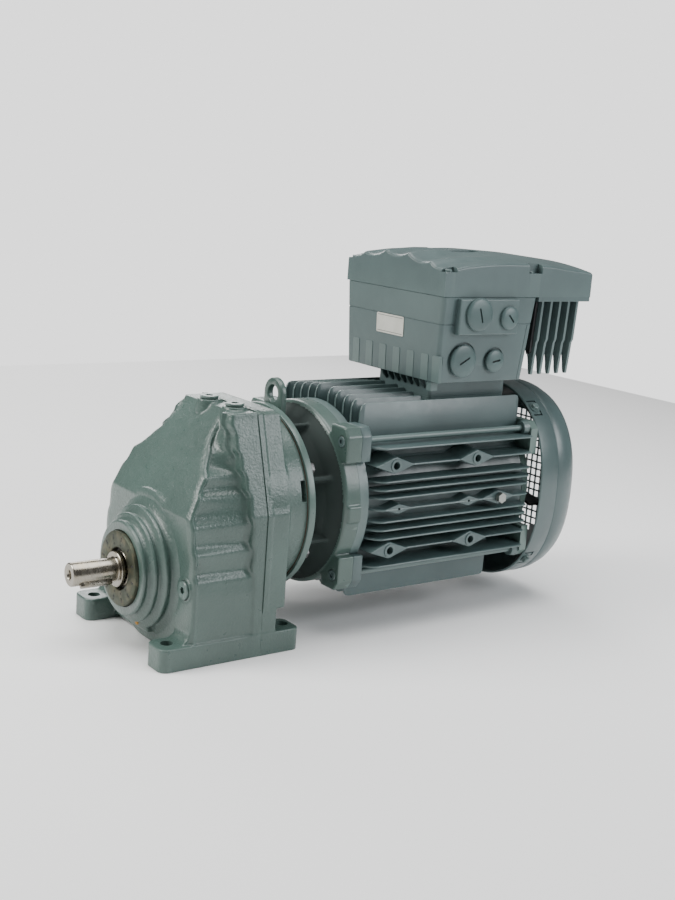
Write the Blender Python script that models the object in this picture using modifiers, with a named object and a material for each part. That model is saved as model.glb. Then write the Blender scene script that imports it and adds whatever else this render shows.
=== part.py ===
"""Foot-mounted single-stage helical gearmotor with a drive inverter on top, in separate pieces.

All driving dimensions are in millimetres; mm() and point() turn them into Blender's metres.
The unit frame has x = 0 on the front face of the output seal cover and +x towards the motor's
fan, z = 0 on the foot plane, and y = 0 on the vertical plane through both shafts.
"""
import math

import bmesh
import bpy
from mathutils import Matrix, Vector

# --- Overall layout ---------------------------------------------------------------------------
MODEL_NAME = "gearmotor"
MILLIMETRE = 0.001
SHAFT_TIP_X = -54.0            # free end of the output shaft
MODEL_END_X = 566.0            # rear face of the fan cowl and of the inverter cover
OUTPUT_AXIS_Z = 80.0           # shaft height above the feet
CENTRE_DISTANCE = 65.0         # output axis to motor axis
MOTOR_AXIS_Z = OUTPUT_AXIS_Z + CENTRE_DISTANCE
FIT_GAP = 0.3                  # clearance between pieces that touch
SPLIT_X = 116.0                # joint between the two gear-case castings
FLANGE_X = 167.0               # joint between the gear case and the motor
FRAME_X = 232.0                # joint between the drive-end shield and the stator frame
FRAME_END_X = 482.0            # rear end of the stator frame

# --- Gear train -------------------------------------------------------------------------------
GEAR_MODULE = 2.0
PINION_TEETH = 15
GEAR_TEETH = 50
PRESSURE_ANGLE = math.radians(25.0)
HELIX_ANGLE = math.radians(12.0)
TOOTH_THINNING = 0.15          # taken off each tooth's thickness, for backlash
PINION_FACE = (88.0, 116.0)
GEAR_FACE = (89.0, 113.0)
PINION_LAYERS = 2              # straight steps that the helix is made of along the pinion

# --- Output shaft and its bearings ------------------------------------------------------------
SHAFT_RADIUS = 12.5
COLLAR_RADIUS = 19.0
FRONT_SEAT_RADIUS = 20.0
REAR_SEAT_RADIUS = 17.5
FRONT_BEARING = (14.0, 32.0, 20.0, 40.0)     # x from, x to, bore radius, outer radius
REAR_BEARING = (58.0, 75.0, 17.5, 36.0)
DRIVE_END_BEARING = (190.0, 207.0, 17.5, 36.0)
FAN_END_BEARING = (462.0, 477.0, 12.5, 26.0)
RING_STEPS = 20
RING_THICKNESS = 0.28                        # race ring's share of the bearing's section
OUTPUT_SHAFT_END_X = 118.0
KEY_TURN = math.radians(140.0)  # key's place round the shaft, from straight up towards -y
KEY_X = (-46.0, -10.0)
KEY_HALF_WIDTH = 4.0
KEY_CLEARANCE = 0.3

# --- Gear case --------------------------------------------------------------------------------
CASE_HALF_WIDTH = 101.0
CASE_TOP_Z = 252.0
CASE_BOTTOM_Z = 5.0
CASE_WALL = 9.0
FOOT_INNER_Y = 66.3
FOOT_OUTER_Y = 101.6
FOOT_HEIGHT = 24.0
FOOT_END_X = 165.5
FOOT_HOLE_Y = 82.5
FOOT_HOLE_RADIUS = 6.75
FRONT_HOLE_X = 15.2
REAR_HOLE_X = 153.9
RIM_START_X = 103.0
WAVE_DEPTH = 2.5
WAVE_FROM_Z = 76.0
WAVE_TO_Z = 236.0
WAVE_COUNT = 7
LEVEL_STEP = 160.0 / 28
REAR_CASE_LENGTH = 28.5
DRUM_RADIUS = 98.0
DRUM_BORE = 76.0
SPIGOT_RADIUS = 75.2
FLANGE_BOLT_CIRCLE = 91.0
FLANGE_BOLT_RADIUS = 4.0
FLANGE_BOLT_ANGLES = (30.0, 150.0, 210.0, 330.0)
TOP_PLUGS = (("vent_plug", 100.0, 0.0), ("oil_fill_plug", 103.0, -46.0))
LEVEL_PLUG_Y = -84.0
LEVEL_PLUG_Z = 78.0
PLUG_HOLE_RADIUS = 6.3

# --- Motor ------------------------------------------------------------------------------------
MOTOR_STEPS = 32               # sides of the motor's turned castings, which fit in each other
FLANGE_RADIUS = 102.0
SHIELD_RADIUS = 103.0
FRAME_OUTER_RADIUS = 90.0
FRAME_BORE = 80.3
STATOR_RADIUS = 80.0
AIR_GAP_RADIUS = 46.0
ROTOR_RADIUS = 45.5
STACK = (275.0, 425.0)
ROD_Y = 87.0
ROD_DZ = 74.0
ROD_RADIUS = 3.5
ROD_LENGTH = 277.0
ROD_HEAD_X = 214.0
ROD_HEAD_LENGTH = 5.0
LUG_Y = (70.0, 98.0)
LUG_DZ = (52.0, 82.0)
LUG_CHAMFER = 8.0
FLANK_FIN_HEIGHTS = (66.0, 47.0, 29.0, 19.5, 10.5, -2.5, -16.0, -25.5, -35.5, -48.0, -66.0)
UPRIGHT_FIN_SIDES = (12.0, 26.0, 41.0, 56.0, 72.0)
FIN_THICKNESS = 2.8
FLANK_FIN_EDGE = 105.0
BIG_BOSS_XS = (275.0, 393.0)
BIG_BOSS_DZ = 48.0
SMALL_BOSS_XS = (285.0, 387.0, 433.0)
SMALL_BOSS_DZ = -2.0
EARTH_BOLT_X = SMALL_BOSS_XS[-1]
EYE_Z = 257.0                  # middle of the lifting eye's hole
EYE_RADIUS = 18.0
EYE_HOLE_RADIUS = 9.0
EYE_SHANK = 40.0
EYE_THICKNESS = 7.0
COWL_HALF_WIDTH = 111.0
COWL_HALF_HEIGHT = 122.5
COWL_MIDDLE_Z = 141.5          # a little below the shaft, to reach round the lower fins
COWL_SQUARENESS = 2.4
COWL_WALL = 2.0
COWL_FRONT_X = 495.0
FAN_BLADES = 7

# --- Inverter ---------------------------------------------------------------------------------
BOX_BOTTOM_Z = 276.0
BOX_SPLIT_Z = 372.6
NECK_BOTTOM_Z = 256.3
NECK_X = (352.0, 468.0)
NECK_Y = (-60.0, 34.0)         # the neck sits towards the near side
COVER_RISE = 10.0
COVER_HALF_WIDTH = 89.0
HEAT_SINK_XS = (490.5, 504.8, 519.1, 533.4, 547.7)
HEAT_SINK_FIN = 4.0
ARCH_RADIUS = 72.0
ARCH_MIDDLE_Z = 281.0
BOX_LOW = (340.9, 471.0, 83.4)  # x from, x to and half width of the housing at its bottom
BOX_HIGH = (337.0, 479.0, 88.6)  # the same at its joint with the cover
LABEL_Y = (-21.5, 27.8)
LABEL_Z = (319.5, 342.0)
LABEL_THICKNESS = 0.5

PAINT = (0.19, 0.245, 0.235)
PAINT_BLUE = (0.20, 0.25, 0.265)
STEEL = (0.55, 0.53, 0.49)
DARK_STEEL = (0.20, 0.20, 0.20)
COPPER = (0.62, 0.30, 0.14)
BLACK = (0.02, 0.02, 0.02)
RUBBER = (0.03, 0.03, 0.03)
GREEN_BOARD = (0.03, 0.16, 0.07)
PALE = (0.80, 0.80, 0.76)


# --- Scene set-up -----------------------------------------------------------------------------
def clear_scene():
    for old in list(bpy.data.objects):
        bpy.data.objects.remove(old, do_unlink=True)


def new_collection(name):
    collection = bpy.data.collections.new(name)
    bpy.context.scene.collection.children.link(collection)
    return collection


clear_scene()
PARTS = new_collection(MODEL_NAME)
CUTTERS = new_collection("cutters")
UNIT = bpy.data.objects.new("unit_origin", None)
UNIT.location.x = -0.5 * (SHAFT_TIP_X + MODEL_END_X) * MILLIMETRE
PARTS.objects.link(UNIT)


def mm(value):
    return value * MILLIMETRE


def point(x, y, z):
    return Vector((mm(x), mm(y), mm(z)))


def paint(obj, colour, roughness=0.5, metallic=0.0):
    """Give an object a material of its own."""
    material = bpy.data.materials.new(obj.name + "_material")
    material.use_nodes = True
    shader = material.node_tree.nodes["Principled BSDF"]
    shader.inputs["Base Color"].default_value = (*colour, 1.0)
    shader.inputs["Roughness"].default_value = roughness
    shader.inputs["Metallic"].default_value = metallic
    obj.data.materials.clear()
    obj.data.materials.append(material)
    return obj


def add_object(name, mesh, place=(0.0, 0.0, 0.0), cutter=False):
    """Link a mesh as a piece, or as a hidden shape that cuts or extends one."""
    obj = bpy.data.objects.new(name, mesh)
    obj.location = point(*place)
    obj.parent = UNIT
    if cutter:
        CUTTERS.objects.link(obj)
        obj.hide_render = True
        obj.display_type = "WIRE"
    else:
        PARTS.objects.link(obj)
    return obj


def finish_bmesh(shape, name):
    bmesh.ops.recalc_face_normals(shape, faces=shape.faces)
    mesh = bpy.data.meshes.new(name)
    shape.to_mesh(mesh)
    shape.free()
    return mesh


def smooth(obj, angle=35.0):
    obj.data.shade_smooth()
    obj.data.set_sharp_from_angle(angle=math.radians(angle))
    return obj


# --- Modelling tools --------------------------------------------------------------------------
def boolean(target, other, operation):
    modifier = target.modifiers.new(other.name, "BOOLEAN")
    modifier.operation = operation
    modifier.object = other
    modifier.solver = "EXACT"
    return target


def cut(target, *others):
    for other in others:
        boolean(target, other, "DIFFERENCE")
    return target


def join(target, *others):
    for other in others:
        boolean(target, other, "UNION")
    return target


def add_bevel(obj, width, segments=1, angle=40.0):
    modifier = obj.modifiers.new("edges", "BEVEL")
    modifier.width = mm(width)
    modifier.segments = segments
    modifier.limit_method = "ANGLE"
    modifier.angle_limit = math.radians(angle)
    return obj


def put_box(shape, low, high):
    """Add a box between two corners to a bmesh."""
    size = [b - a for a, b in zip(low, high)]
    middle = [(a + b) / 2 for a, b in zip(low, high)]
    matrix = Matrix.Translation(point(*middle)) @ Matrix.Diagonal((*point(*size), 1.0))
    bmesh.ops.create_cube(shape, size=1.0, matrix=matrix)


def boxes(name, spans, cutter=False, place=(0.0, 0.0, 0.0)):
    """One mesh of separate boxes, each given by its low and high corners."""
    shape = bmesh.new()
    for low, high in spans:
        put_box(shape, low, high)
    return add_object(name, finish_bmesh(shape, name), place, cutter)


AXIS_TURNS = {
    "X": Matrix.Rotation(math.radians(90.0), 4, "Y"),
    "Y": Matrix.Rotation(math.radians(-90.0), 4, "X"),
    "Z": Matrix.Identity(4),
}


def put_rod(shape, start, length, radius, axis="X", steps=16, end_radius=None):
    """Add a closed cylinder or cone that runs from start along +axis."""
    turn = AXIS_TURNS[axis]
    shift = Matrix.Translation(point(*start)) @ turn @ Matrix.Translation((0, 0, mm(length) / 2))
    bmesh.ops.create_cone(
        shape,
        cap_ends=True,
        segments=steps,
        radius1=mm(radius),
        radius2=mm(radius if end_radius is None else end_radius),
        depth=mm(length),
        matrix=shift,
    )


def rods(name, places, length, radius, axis="X", steps=16, cutter=False, end_radius=None):
    shape = bmesh.new()
    for start in places:
        put_rod(shape, start, length, radius, axis, steps, end_radius)
    return add_object(name, finish_bmesh(shape, name), cutter=cutter)


def turned(name, profile, axis_z, steps=40, cutter=False, closed=False):
    """Revolve (radius, x) points round a shaft axis; they run from the rear to the front."""
    shape = bmesh.new()
    corners = [shape.verts.new((mm(radius), 0.0, mm(x))) for radius, x in profile]
    for first, second in zip(corners, corners[1:]):
        shape.edges.new((first, second))
    if closed:
        shape.edges.new((corners[-1], corners[0]))
    mesh = bpy.data.meshes.new(name)
    shape.to_mesh(mesh)
    shape.free()
    obj = add_object(name, mesh, (0.0, 0.0, axis_z), cutter)
    obj.rotation_euler.y = math.radians(90.0)
    screw = obj.modifiers.new("turn", "SCREW")
    screw.axis = "Z"
    screw.angle = math.tau
    screw.screw_offset = 0.0
    screw.steps = steps
    screw.render_steps = steps
    screw.use_merge_vertices = True
    screw.merge_threshold = 0.00001
    screw.use_smooth_shade = False
    return obj


def ring(name, x_from, x_to, inner, outer, axis_z, steps=32):
    """A plain ring of rectangular section."""
    profile = [(outer, x_to), (outer, x_from), (inner, x_from), (inner, x_to)]
    return turned(name, profile, axis_z, steps, closed=True)


def extruded(name, outline, start, depth, cutter=False):
    """A flat (y, z) outline with round or square corners, given thickness along x."""
    curve = bpy.data.curves.new(name, "CURVE")
    curve.dimensions = "2D"
    curve.fill_mode = "BOTH"
    curve.extrude = mm(depth) / 2
    for loop in outline:
        spline = curve.splines.new("POLY")
        spline.points.add(len(loop) - 1)
        for spot, (across, up) in zip(spline.points, loop):
            spot.co = (mm(across), mm(up), 0.0, 1.0)
        spline.use_cyclic_u = True
    flat = bpy.data.objects.new(name + "_curve", curve)
    CUTTERS.objects.link(flat)
    bpy.context.view_layer.update()
    evaluated = flat.evaluated_get(bpy.context.evaluated_depsgraph_get())
    mesh = bpy.data.meshes.new_from_object(evaluated)
    bpy.data.objects.remove(flat)
    stand_up = Matrix(((0, 0, 1, 0), (1, 0, 0, 0), (0, 1, 0, 0), (0, 0, 0, 1)))
    mesh.transform(stand_up)
    shape = bmesh.new()
    shape.from_mesh(mesh)
    bmesh.ops.remove_doubles(shape, verts=shape.verts, dist=0.00001)
    bmesh.ops.recalc_face_normals(shape, faces=shape.faces)
    shape.to_mesh(mesh)
    shape.free()
    return add_object(name, mesh, (start[0] + depth / 2, start[1], start[2]), cutter)


def circle(radius, steps, middle=(0.0, 0.0)):
    angles = [math.tau * i / steps for i in range(steps)]
    return [(middle[0] + radius * math.cos(a), middle[1] + radius * math.sin(a)) for a in angles]


def loft(name, loops, cutter=False, caps=True, place=(0.0, 0.0, 0.0)):
    """Skin a stack of closed loops, each a list of (x, y, z) with the same number of points."""
    shape = bmesh.new()
    rows = [[shape.verts.new(point(*spot)) for spot in loop] for loop in loops]
    count = len(rows[0])
    for low, high in zip(rows, rows[1:]):
        for i in range(count):
            j = (i + 1) % count
            shape.faces.new((low[i], low[j], high[j], high[i]))
    if caps:
        shape.faces.new(rows[0])
        shape.faces.new(rows[-1])
    return add_object(name, finish_bmesh(shape, name), place, cutter)


def blend(value, table):
    """Read a value from a short table of (position, result) pairs, straight between them."""
    if value <= table[0][0]:
        return table[0][1]
    for (low, start), (high, end) in zip(table, table[1:]):
        if value <= high:
            return start + (end - start) * (value - low) / (high - low)
    return table[-1][1]


# --- Gear case --------------------------------------------------------------------------------
FRONT_WALL = ((150.0, 33.0), (190.0, 52.0), (205.0, 63.0), (230.0, 79.0), (250.0, 95.0))
FRONT_WIDTH = ((100.0, 100.0), (145.0, 90.0), (190.0, 78.0), (207.0, 60.0), (230.0, 45.0))
RIM_WIDTH = ((150.0, CASE_HALF_WIDTH), (250.0, 70.0))


def wave(z):
    """Sideways swell of the ribbed flank at a height."""
    if not WAVE_FROM_Z < z < WAVE_TO_Z:
        return 0.0
    phase = (z - WAVE_FROM_Z) / (WAVE_TO_Z - WAVE_FROM_Z)
    return -WAVE_DEPTH * (1.0 - math.cos(math.tau * WAVE_COUNT * phase)) / 2.0


def case_section(z):
    """Half of the front casting's plan outline at a height, from its nose to the split."""
    nose = blend(z, FRONT_WALL)
    width = blend(z, FRONT_WIDTH)
    rim = blend(z, RIM_WIDTH)
    swell = wave(z)
    flank_end = rim - 3.0
    spots = [
        (nose, 0.0),
        (nose, width - 9.0),
        (nose + 2.5, width - 3.0 + swell / 2),
        (nose + 9.0, min(width, flank_end) + swell),
        (RIM_START_X - 3.0, flank_end + swell),
        (RIM_START_X, flank_end),
        (RIM_START_X + 2.0, rim),
        (SPLIT_X + 3.0, rim),
        (SPLIT_X + 3.0, 0.0),
    ]
    return spots


def mirrored(spots, z):
    """Close a half outline into a loop; its first and last points are on y = 0."""
    near = [(x, -y, z) for x, y in spots]
    far = [(x, y, z) for x, y in reversed(spots[1:-1])]
    return near + far


def front_levels():
    levels = [CASE_BOTTOM_Z, WAVE_FROM_Z]
    steps = round((WAVE_TO_Z - WAVE_FROM_Z) / LEVEL_STEP)
    levels += [WAVE_FROM_Z + LEVEL_STEP * (i + 1) for i in range(steps)]
    return levels + [CASE_TOP_Z - 6.0, CASE_TOP_Z]


def case_cavity():
    """The room for the gears in the front casting, narrower at the split for its bolts."""
    loops = []
    for z in (14.0, 100.0, 150.0, 190.0, 207.0, 224.0):
        nose = blend(z, FRONT_WALL) + CASE_WALL
        width = blend(z, FRONT_WIDTH)
        rim = blend(z, RIM_WIDTH)
        neck = min(rim - 16.0, 73.0)
        spots = [
            (nose, 0.0),
            (nose, width - CASE_WALL - 8.0),
            (nose + 8.0, min(width, rim) - CASE_WALL - 3.0),
            (98.0, rim - CASE_WALL - 6.0),
            (98.1, neck),
            (SPLIT_X + 9.0, neck),
            (SPLIT_X + 9.0, 0.0),
        ]
        loops.append(mirrored(spots, z))
    return loft("case_cavity_shape", loops, cutter=True)


def foot_spans(x_from, x_to):
    spans = []
    for side in (-1.0, 1.0):
        ends = sorted((side * FOOT_INNER_Y, side * FOOT_OUTER_Y))
        spans.append(((x_from, ends[0], 0.0), (x_to, ends[1], FOOT_HEIGHT)))
    return spans


def foot_holes(name, x):
    places = [(x, side * FOOT_HOLE_Y, -5.0) for side in (-1.0, 1.0)]
    return rods(name, places, FOOT_HEIGHT + 10.0, FOOT_HOLE_RADIUS, "Z", 20, cutter=True)


def flange_bolt_places(x):
    places = []
    for angle in FLANGE_BOLT_ANGLES:
        turn = math.radians(angle)
        y = FLANGE_BOLT_CIRCLE * math.cos(turn)
        places.append((x, y, MOTOR_AXIS_Z + FLANGE_BOLT_CIRCLE * math.sin(turn)))
    return places


def make_gear_case_front():
    loops = [mirrored(case_section(z), z) for z in front_levels()]
    case = loft("gear_case_front", loops)
    feet = boxes("front_feet_shape", foot_spans(0.0, SPLIT_X + 4.0), cutter=True)
    add_bevel(feet, 4.0, 2)
    hub_profile = [
        (0.0, 40.0), (73.0, 40.0), (73.0, 33.0), (68.0, 31.0), (62.0, 28.5), (65.1, 25.5),
        (65.1, 22.5), (60.5, 21.0), (54.5, 18.5), (57.6, 16.5), (57.6, 13.5), (53.0, 12.5),
        (47.5, 10.0), (50.3, 7.5), (50.3, 4.0), (0.0, 4.0),
    ]
    hub = turned("hub_shape", hub_profile, OUTPUT_AXIS_Z, 32, cutter=True)
    boss_profile = [(0.0, 77.0), (46.0, 77.0), (46.0, 36.0), (0.0, 36.0)]
    inner_boss = turned("inner_boss_shape", boss_profile, OUTPUT_AXIS_Z, 28, cutter=True)
    bore = turned(
        "output_bore_shape",
        [
            (0.0, 80.0), (36.0, 80.0), (36.0, 57.7), (30.0, 57.7), (30.0, 32.3), (40.0, 32.3),
            (40.0, 2.0), (0.0, 2.0),
        ],
        OUTPUT_AXIS_Z,
        30,
        cutter=True,
    )
    bolt_holes = rods(
        "front_bolt_hole_shape", flange_bolt_places(SPLIT_X - 17.0), 30.0, FLANGE_BOLT_RADIUS + FIT_GAP,
        cutter=True, steps=12,
    )
    pad_places = [(x, y, 240.0) for _, x, y in TOP_PLUGS]
    plug_pads = rods("plug_pad_shape", pad_places, 17.0, 11.0, "Z", 20, cutter=True)
    hole_places = [(x, y, 218.0) for _, x, y in TOP_PLUGS]
    plug_holes = rods("top_plug_hole_shape", hole_places, 60.0, PLUG_HOLE_RADIUS, "Z", 16, cutter=True)
    side_place = [(24.0, LEVEL_PLUG_Y, LEVEL_PLUG_Z)]
    side_hole = rods("level_hole_shape", side_place, 30.0, PLUG_HOLE_RADIUS, "X", 16, cutter=True)
    beyond = ((SPLIT_X - FIT_GAP / 2, -120.0, -20.0), (SPLIT_X + 20.0, 120.0, 300.0))
    split_plane = boxes("split_plane_shape", [beyond], cutter=True)
    join(case, feet, hub)
    cut(case, case_cavity(), split_plane)
    join(case, inner_boss, plug_pads)
    cut(case, bore, bolt_holes, plug_holes, side_hole)
    cut(case, foot_holes("front_foot_hole_shape", FRONT_HOLE_X))
    return paint(smooth(case), PAINT, 0.45)


def make_gear_case_rear():
    rim = [(-y, z) for z, y in RIM_WIDTH]
    outline = [(-CASE_HALF_WIDTH, CASE_BOTTOM_Z), *rim, (-62.0, CASE_TOP_Z)]
    outline += [(-y, z) for y, z in reversed(outline)]
    start = SPLIT_X + FIT_GAP / 2
    case = extruded("gear_case_rear", [outline], (start, 0.0, 0.0), REAR_CASE_LENGTH)
    low_step = boxes(
        "rear_step_shape", [((134.5, -110.0, -1.0), (150.0, 110.0, 49.0))], cutter=True
    )
    drum_length = FLANGE_X - FIT_GAP / 2 - 120.0
    drum = rods("drum_shape", [(120.0, 0.0, MOTOR_AXIS_Z)], drum_length, DRUM_RADIUS, steps=48, cutter=True)
    feet = boxes("rear_feet_shape", foot_spans(start, FOOT_END_X), cutter=True)
    add_bevel(feet, 4.0, 2)
    room = boxes("rear_room_shape", [((110.0, -73.0, 14.0), (129.0, 73.0, 200.0))], cutter=True)
    add_bevel(room, 12.0, 2)
    bore = rods("drum_bore_shape", [(112.0, 0.0, MOTOR_AXIS_Z)], 60.0, DRUM_BORE, steps=36, cutter=True)
    bolt_holes = rods(
        "rear_bolt_hole_shape", flange_bolt_places(110.0), 60.0, FLANGE_BOLT_RADIUS + FIT_GAP,
        steps=12, cutter=True,
    )
    window = boxes(
        "drain_window_shape", [((160.0, -104.0, 160.0), (164.0, -60.0, 180.0))], cutter=True
    )
    cut(case, low_step)
    join(case, drum, feet)
    cut(case, room, bore, bolt_holes, window, foot_holes("rear_foot_hole_shape", REAR_HOLE_X))
    return paint(smooth(case), PAINT, 0.45)


def make_plugs():
    """Socket-head plugs that fill, vent and check the oil."""
    for name, x, y in TOP_PLUGS:
        shape = bmesh.new()
        put_rod(shape, (x, y, 243.0), 14.3, 6.0, "Z", 16)
        plug = add_object(name, finish_bmesh(shape, name))
        head = rods(name + "_head_shape", [(x, y, 257.3)], 3.2, 8.5, "Z", 16, cutter=True)
        socket = rods(name + "_socket_shape", [(x, y, 255.5)], 9.0, 4.0, "Z", 6, cutter=True)
        cut(join(plug, head), socket)
        paint(smooth(plug), PAINT, 0.4)
    seat = FRONT_WALL[0][1] - FIT_GAP
    y, z = LEVEL_PLUG_Y, LEVEL_PLUG_Z
    level = rods("oil_level_plug", [(seat - 2.0, y, z)], 14.0, 6.0, "X", 16)
    head = rods("level_head_shape", [(seat - 3.0, y, z)], 3.0, 8.5, "X", 16, cutter=True)
    socket = rods("level_socket_shape", [(seat - 5.0, y, z)], 4.0, 3.5, "X", 6, cutter=True)
    cut(join(level, head), socket)
    paint(smooth(level), PAINT, 0.4)


# --- Output shaft train -----------------------------------------------------------------------
def make_output_shaft():
    profile = [
        (0.0, OUTPUT_SHAFT_END_X), (16.0, OUTPUT_SHAFT_END_X), (17.0, 117.0), (17.0, 116.8),
        (15.8, 116.8), (15.8, 114.9), (17.0, 114.9), (17.0, 76.0), (REAR_SEAT_RADIUS, 76.0),
        (REAR_SEAT_RADIUS, 57.7), (24.0, 57.7), (24.0, 32.3), (FRONT_SEAT_RADIUS, 32.3),
        (FRONT_SEAT_RADIUS, 13.7), (COLLAR_RADIUS, 13.7), (COLLAR_RADIUS, -3.0), (18.0, -4.0),
        (SHAFT_RADIUS, -4.0), (SHAFT_RADIUS, SHAFT_TIP_X + 1.5), (SHAFT_RADIUS - 1.5, SHAFT_TIP_X),
        (5.5, SHAFT_TIP_X), (4.2, SHAFT_TIP_X + 2.0), (4.2, SHAFT_TIP_X + 22.0),
        (0.0, SHAFT_TIP_X + 24.0),
    ]
    shaft = turned("output_shaft", profile, OUTPUT_AXIS_Z, 24)
    side = KEY_HALF_WIDTH + KEY_CLEARANCE
    low = (KEY_X[0] - KEY_CLEARANCE, -side, 8.2)
    high = (KEY_X[1] + KEY_CLEARANCE, side, 20.0)
    keyway = boxes("output_keyway_shape", [(low, high)], cutter=True, place=(0.0, 0.0, OUTPUT_AXIS_Z))
    keyway.rotation_euler.x = KEY_TURN
    gear_way = boxes(
        "gear_shaft_keyway_shape", [((84.0, -4.3, 92.2), (111.0, 4.3, 100.0))], cutter=True
    )
    cut(shaft, keyway, gear_way)
    return paint(smooth(shaft), STEEL, 0.28, 1.0)


def make_keys():
    spans = [((KEY_X[0], -KEY_HALF_WIDTH, 8.5), (KEY_X[1], KEY_HALF_WIDTH, 15.4))]
    key = boxes("output_key", spans, place=(0.0, 0.0, OUTPUT_AXIS_Z))
    key.rotation_euler.x = KEY_TURN
    add_bevel(key, 0.6)
    paint(key, STEEL, 0.35, 1.0)
    gear_key = boxes("gear_key", [((84.3, -4.0, 92.5), (110.7, 4.0, 99.5))])
    paint(gear_key, STEEL, 0.4, 1.0)


def involute_angle(pressure):
    return math.tan(pressure) - pressure


def tooth_outline(teeth, turn):
    """Points of an outline whose first tooth is centred on the angle turn."""
    pitch = GEAR_MODULE * teeth / 2
    base = pitch * math.cos(PRESSURE_ANGLE)
    tip = pitch + GEAR_MODULE * 0.95
    root = pitch - GEAR_MODULE * 1.2
    half_at_pitch = (math.pi * GEAR_MODULE / 2 - TOOTH_THINNING) / (2 * pitch)
    radii = [max(base, root), pitch, tip] if root > base else [base, pitch - 0.4, pitch + 0.8, tip]
    flank = []
    for radius in radii:
        pressure = math.acos(min(1.0, base / radius))
        half = half_at_pitch + involute_angle(PRESSURE_ANGLE) - involute_angle(pressure)
        flank.append((radius, half))
    if root < base:
        flank.insert(0, (root, flank[0][1]))
    spots = []
    for tooth in range(teeth):
        centre = turn + math.tau * tooth / teeth
        for radius, half in flank:
            spots.append((radius, centre - half))
        for radius, half in reversed(flank):
            spots.append((radius, centre + half))
    return spots


def gear_loops(teeth, face, turn, hand):
    """The outline at several places along the face, twisted for the helix."""
    pitch = GEAR_MODULE * teeth / 2
    loops = []
    layers = PINION_LAYERS if teeth == PINION_TEETH else 1
    for layer in range(layers + 1):
        x = face[0] + (face[1] - face[0]) * layer / layers
        middle = (PINION_FACE[0] + PINION_FACE[1]) / 2
        twist = hand * math.tan(HELIX_ANGLE) * (x - middle) / pitch
        loops.append([
            (x, radius * math.cos(angle), radius * math.sin(angle))
            for radius, angle in tooth_outline(teeth, turn + twist)
        ])
    return loops


def make_output_gear():
    up = math.pi / 2
    half_pitch = math.pi / GEAR_TEETH
    loops = gear_loops(GEAR_TEETH, GEAR_FACE, up + half_pitch, 1.0)
    gear = loft("output_gear", loops, place=(0.0, 0.0, OUTPUT_AXIS_Z))
    hub_profile = [(0.0, 114.6), (27.0, 114.6), (27.0, 76.3), (0.0, 76.3)]
    hub = turned("gear_hub_shape", hub_profile, OUTPUT_AXIS_Z, 24, cutter=True)
    bore = rods("gear_bore_shape", [(70.0, 0.0, OUTPUT_AXIS_Z)], 50.0, 17.5, steps=24, cutter=True)
    way = boxes("gear_keyway_shape", [((70.0, -4.3, 90.0), (120.0, 4.3, 99.9))], cutter=True)
    cut(join(gear, hub), bore, way)
    return paint(smooth(gear, 30.0), STEEL, 0.35, 1.0)


def make_pinion():
    down = -math.pi / 2
    loops = gear_loops(PINION_TEETH, PINION_FACE, down, -1.0)
    pinion = loft("pinion", loops, place=(0.0, 0.0, MOTOR_AXIS_Z))
    collar_place = [(115.0, 0.0, MOTOR_AXIS_Z)]
    collar = rods("pinion_collar_shape", collar_place, 15.0, 12.0, steps=24, cutter=True)
    bore = rods("pinion_bore_shape", [(80.0, 0.0, MOTOR_AXIS_Z)], 60.0, 8.3, steps=24, cutter=True)
    cut(join(pinion, collar), bore)
    return paint(smooth(pinion, 30.0), STEEL, 0.35, 1.0)


def bearing(name, sizes, axis_z):
    """Outer and inner race rings."""
    x_from, x_to, bore, outer = sizes
    section = (outer - bore) * RING_THICKNESS
    seat = bore + FIT_GAP
    rim = outer - FIT_GAP
    race = ring(name + "_outer_ring", x_from, x_to, rim - section, rim, axis_z, RING_STEPS)
    paint(smooth(race), STEEL, 0.25, 1.0)
    race = ring(name + "_inner_ring", x_from, x_to, seat, bore + section, axis_z, RING_STEPS)
    paint(smooth(race), STEEL, 0.25, 1.0)


def make_output_train():
    make_output_shaft()
    make_keys()
    make_output_gear()
    bearing("front_bearing", FRONT_BEARING, OUTPUT_AXIS_Z)
    bearing("rear_bearing", REAR_BEARING, OUTPUT_AXIS_Z)
    clip = ring("gear_retaining_ring", 115.2, 116.5, 16.1, 20.5, OUTPUT_AXIS_Z, 24)
    paint(smooth(clip), DARK_STEEL, 0.4, 1.0)
    seal = turned(
        "output_shaft_seal",
        [
            (39.7, 13.0), (39.7, 6.3), (19.3, 6.3), (19.3, 8.0), (24.0, 9.0), (36.0, 9.0), (36.0, 13.0),
        ],
        OUTPUT_AXIS_Z, 24, closed=True,
    )
    paint(smooth(seal), RUBBER, 0.6)
    disc = turned(
        "seal_cover_disc",
        [(39.7, 6.0), (39.7, 1.2), (38.5, 0.0), (23.5, 0.0), (22.0, 1.5), (22.0, 6.0)],
        OUTPUT_AXIS_Z, 32, closed=True,
    )
    paint(smooth(disc), (0.30, 0.31, 0.27), 0.5, 0.4)


# --- Motor ------------------------------------------------------------------------------------
def corner_lugs(name, x_from, x_to, inner_y=LUG_Y[0], inner_dz=LUG_DZ[0]):
    """Four chamfered blocks that carry the tie rods."""
    outline = [
        (inner_y, inner_dz), (LUG_Y[1], inner_dz), (LUG_Y[1], LUG_DZ[1] - LUG_CHAMFER),
        (LUG_Y[1] - LUG_CHAMFER, LUG_DZ[1]), (inner_y, LUG_DZ[1]),
    ]
    loops = []
    for side, up in ((1, 1), (-1, 1), (-1, -1), (1, -1)):
        loops.append([(side * y, MOTOR_AXIS_Z + up * z) for y, z in outline])
    return extruded(name, loops, (x_from, 0.0, 0.0), x_to - x_from, cutter=True)


def rod_places(x):
    return [(x, side * ROD_Y, MOTOR_AXIS_Z + up * ROD_DZ) for side in (-1, 1) for up in (-1, 1)]


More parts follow.
